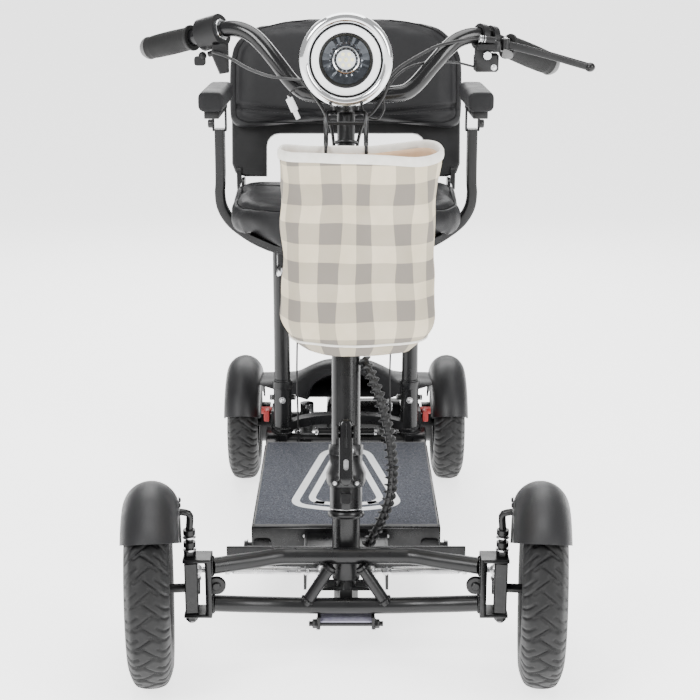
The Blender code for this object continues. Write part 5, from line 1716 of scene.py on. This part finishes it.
def armrest_pads():
    """A pad with a soft crown, on its under-block, with the hinge cheeks and a cap over the pivot."""

    def pad():
        shape = bmesh.new()
        rings = []
        stations = [
            (0.0, 0.86, 0.84), (0.01, 0.95, 0.94), (0.05, 1, 1), (0.12, 1, 1), (0.5, 1, 1.0),
            (0.88, 1, 1), (0.95, 1, 1), (0.99, 0.95, 0.94), (1.0, 0.86, 0.84)
        ]
        section = rounded(0.04, 0.03, 0.009, (0, 0), 6)
        for t, wide, tall in stations:
            ring = []
            for x, z in section:
                crown = 0.0012 * cos(x / 0.02 * pi / 2) if z > 0 else 0
                ring.append(
                    shape.verts.new(
                        (ARM_X + 0.002 + x * wide, 0.455 + 0.19 * t, 0.714 + z * tall + crown * tall)
                    )
                )
            rings.append(ring)
        return closed(skin(shape, rings, caps=True))

    for side, sign in (("left", 1), ("right", -1)):
        shape = pad() if sign > 0 else reflect(pad())
        obj = add(
            "armrest_pad_" + side, shape, "armrest_" + side, VINYL, "black_vinyl",
            ["armrest_" + side], angle=60
        )
        step = obj.modifiers.new("Finer", "SUBSURF")
        step.levels = step.render_levels = 1

    def under():
        tray = block((ARM_X - 0.0095, 0.465, 0.688), (ARM_X + 0.0135, 0.62, 0.701), 0.0015)
        cheeks = [
            prism(
                rounded(0.02, 0.044, 0.006, (ARM_Y, ARM_PIVOT_Z + 0.01)), (ARM_X + a, 0, 0), 0.0022,
                (0, 1, 0), (1, 0, 0), 0.0004
            )
            for a in (-0.0112, 0.009)
        ]
        return [tray, *cheeks]

    both("armrest_under", under, "armrest", DARK_PLASTIC, "black_vinyl")

    def pivot():
        knob = lathe(
            [(0, 0), (0.007, 0), (0.007, 0.007), (0.006, 0.0088), (0, 0.009)],
            (ARM_X + 0.0098, ARM_Y, ARM_PIVOT_Z), (1, 0, 0), 28
        )
        return [knob]

    both("armrest_pivot", pivot, "armrest", COAT, "black_vinyl")


armrest_pads()


def armrest_bar():
    """The bent flat bar that carries both armrests, with its edges eased."""
    y = ARM_Y
    half = [(0, y, 0.456), (0.1, y, 0.462), (0.14, y, 0.474), (0.172, y, 0.4935), (0.1915, y, 0.5115),
            (0.203, y, 0.5325), (0.206, y, 0.555), (0.2045, y, 0.58), (0.204, y, 0.66)]
    section = rounded(0.024, 0.016, 0.0032, (0, 0), 4)
    bar = sweep(smooth_path(mirrored(half), 8), section, (0, 1, 0))
    add("armrest_bar", bar, "seat", COAT, "black_powder_coat", ["armrest_frame"], angle=50)


armrest_bar()


def seat_cables():
    """Two thin leads that run down from the seat to the rear frame, one on each side."""
    for name, x, y in (("seat_lead_left", 0.0757, 0.583), ("seat_lead_right", -0.0826, 0.583)):
        line = [
            (x, y + 0.004, 0.476), (x, y, 0.455), (x + 0.0015, y - 0.002, 0.36), (x - 0.001, y, 0.25),
            (x, y + 0.001, 0.17), (x, y + 0.006, 0.1235)
        ]
        obj = add(
            name, tube(smooth_path(line, 10), 0.0015, 12, near=(1, 0, 0)), None, WRAP, "black_plastic"
        )
        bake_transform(obj)


seat_cables()


def rear_fittings():
    """Rings and welds at the posts, their set screws, and a roller between them."""
    black, bright = [], []
    for s in (-1, 1):
        black.append(
            lathe(
                [(0.0138, 0.2262), (0.015, 0.2262), (0.015, 0.2285), (0.0138, 0.2285)],
                (s * POST_X, POST_Y, 0), (0, 0, 1), 36
            )
        )
        black.append(weld((s * POST_X, POST_Y, 0.142), (0, 0, 1), 0.016, 0.002))
        black.append(weld((s * 0.0755, 0.5875, 0.1205), (0, -1, 0), 0.006, 0.0016))
        for x in (0.0895, 0.1285):
            bright += bolt(
                (s * x, POST_Y - 0.0005, 0.1955), (s if x > 0.11 else -s, 0, 0), 0.0034, 0.0024, False
            )
    roller = rod((-0.048, 0.588, 0.139), (0.048, 0.588, 0.139), 0.0055, 28, round_by=0.0008)
    ends = [pipe((s * 0.0485, 0.588, 0.139), (s * 0.0535, 0.588, 0.139), 0.0064, 0.003) for s in (-1, 1)]
    add("rear_bright_fittings", [*bright, *ends], "scooter", ZINC, "zinc")
    add("rear_dark_fittings", [*black, roller], "scooter", COAT, "black_powder_coat")


rear_fittings()


# ---------------------------------------------------------------- stage


def lamp(name, place, target, width, height, power):
    data = bpy.data.lights.new(name, "AREA")
    data.shape, data.size, data.size_y, data.energy = "RECTANGLE", width, height, power
    obj = bpy.data.objects.new(name, data)
    place, target = ORIGIN + Vector(place), ORIGIN + Vector(target)
    obj.location = place
    obj.rotation_euler = (target - place).to_track_quat("-Z", "Y").to_euler()
    bpy.context.scene.collection.objects.link(obj)


def stage():
    look = Nodes("backdrop")
    look.shader.inputs["Base Color"].default_value = (0.93, 0.93, 0.93, 1)
    look.shader.inputs["Roughness"].default_value = 0.9
    look.shader.inputs["Specular IOR Level"].default_value = 0.1
    look.shader.inputs["Emission Color"].default_value = (1, 1, 1, 1)
    look.shader.inputs["Emission Strength"].default_value = 2.2
    shape = bmesh.new()
    for x, y in ((-90, -90), (90, -90), (90, 90), (-90, 90)):
        shape.verts.new((x, y, -0.0005))
    shape.verts.ensure_lookup_table()
    shape.faces.new(shape.verts[:])
    mesh = bpy.data.meshes.new("floor")
    shape.to_mesh(mesh)
    mesh.materials.append(look.material)
    floor = bpy.data.objects.new("floor", mesh)
    bpy.context.scene.collection.objects.link(floor)
    world = bpy.data.worlds.new("studio")
    world.use_nodes = True
    back = world.node_tree.nodes["Background"].inputs
    back["Color"].default_value = (1, 1, 1, 1)
    seen = world.node_tree.nodes.new("ShaderNodeLightPath").outputs["Is Camera Ray"]
    level = world.node_tree.nodes.new("ShaderNodeMapRange")
    level.inputs["To Min"].default_value, level.inputs["To Max"].default_value = 0.6, 3.2
    world.node_tree.links.new(seen, level.inputs["Value"])
    world.node_tree.links.new(level.outputs["Result"], back["Strength"])
    bpy.context.scene.world = world
    lamp("key", (-1.7, -1.9, 2.3), (0, 0.3, 0.4), 1.0, 1.3, 85)
    lamp("fill", (2.0, -1.5, 1.6), (0, 0.3, 0.4), 1.0, 1.6, 60)
    lamp("top", (0, 0.5, 2.6), (0, 0.3, 0.4), 1.8, 1.8, 60)
    lamp("back", (0.0, 2.6, 1.6), (0, 0.4, 0.5), 2.2, 1.2, 45)
    data = bpy.data.cameras.new("camera")
    data.sensor_width, data.lens, data.shift_x = 36, 70.81, 0.0057
    data.clip_start, data.clip_end = 0.05, 300
    camera = bpy.data.objects.new("camera", data)
    camera.location = ORIGIN + Vector((0, -1.6595, 0.9295))
    camera.rotation_euler = (pi / 2 - radians(16.007), 0, 0)
    bpy.context.scene.collection.objects.link(camera)
    bpy.context.scene.camera = camera


stage()
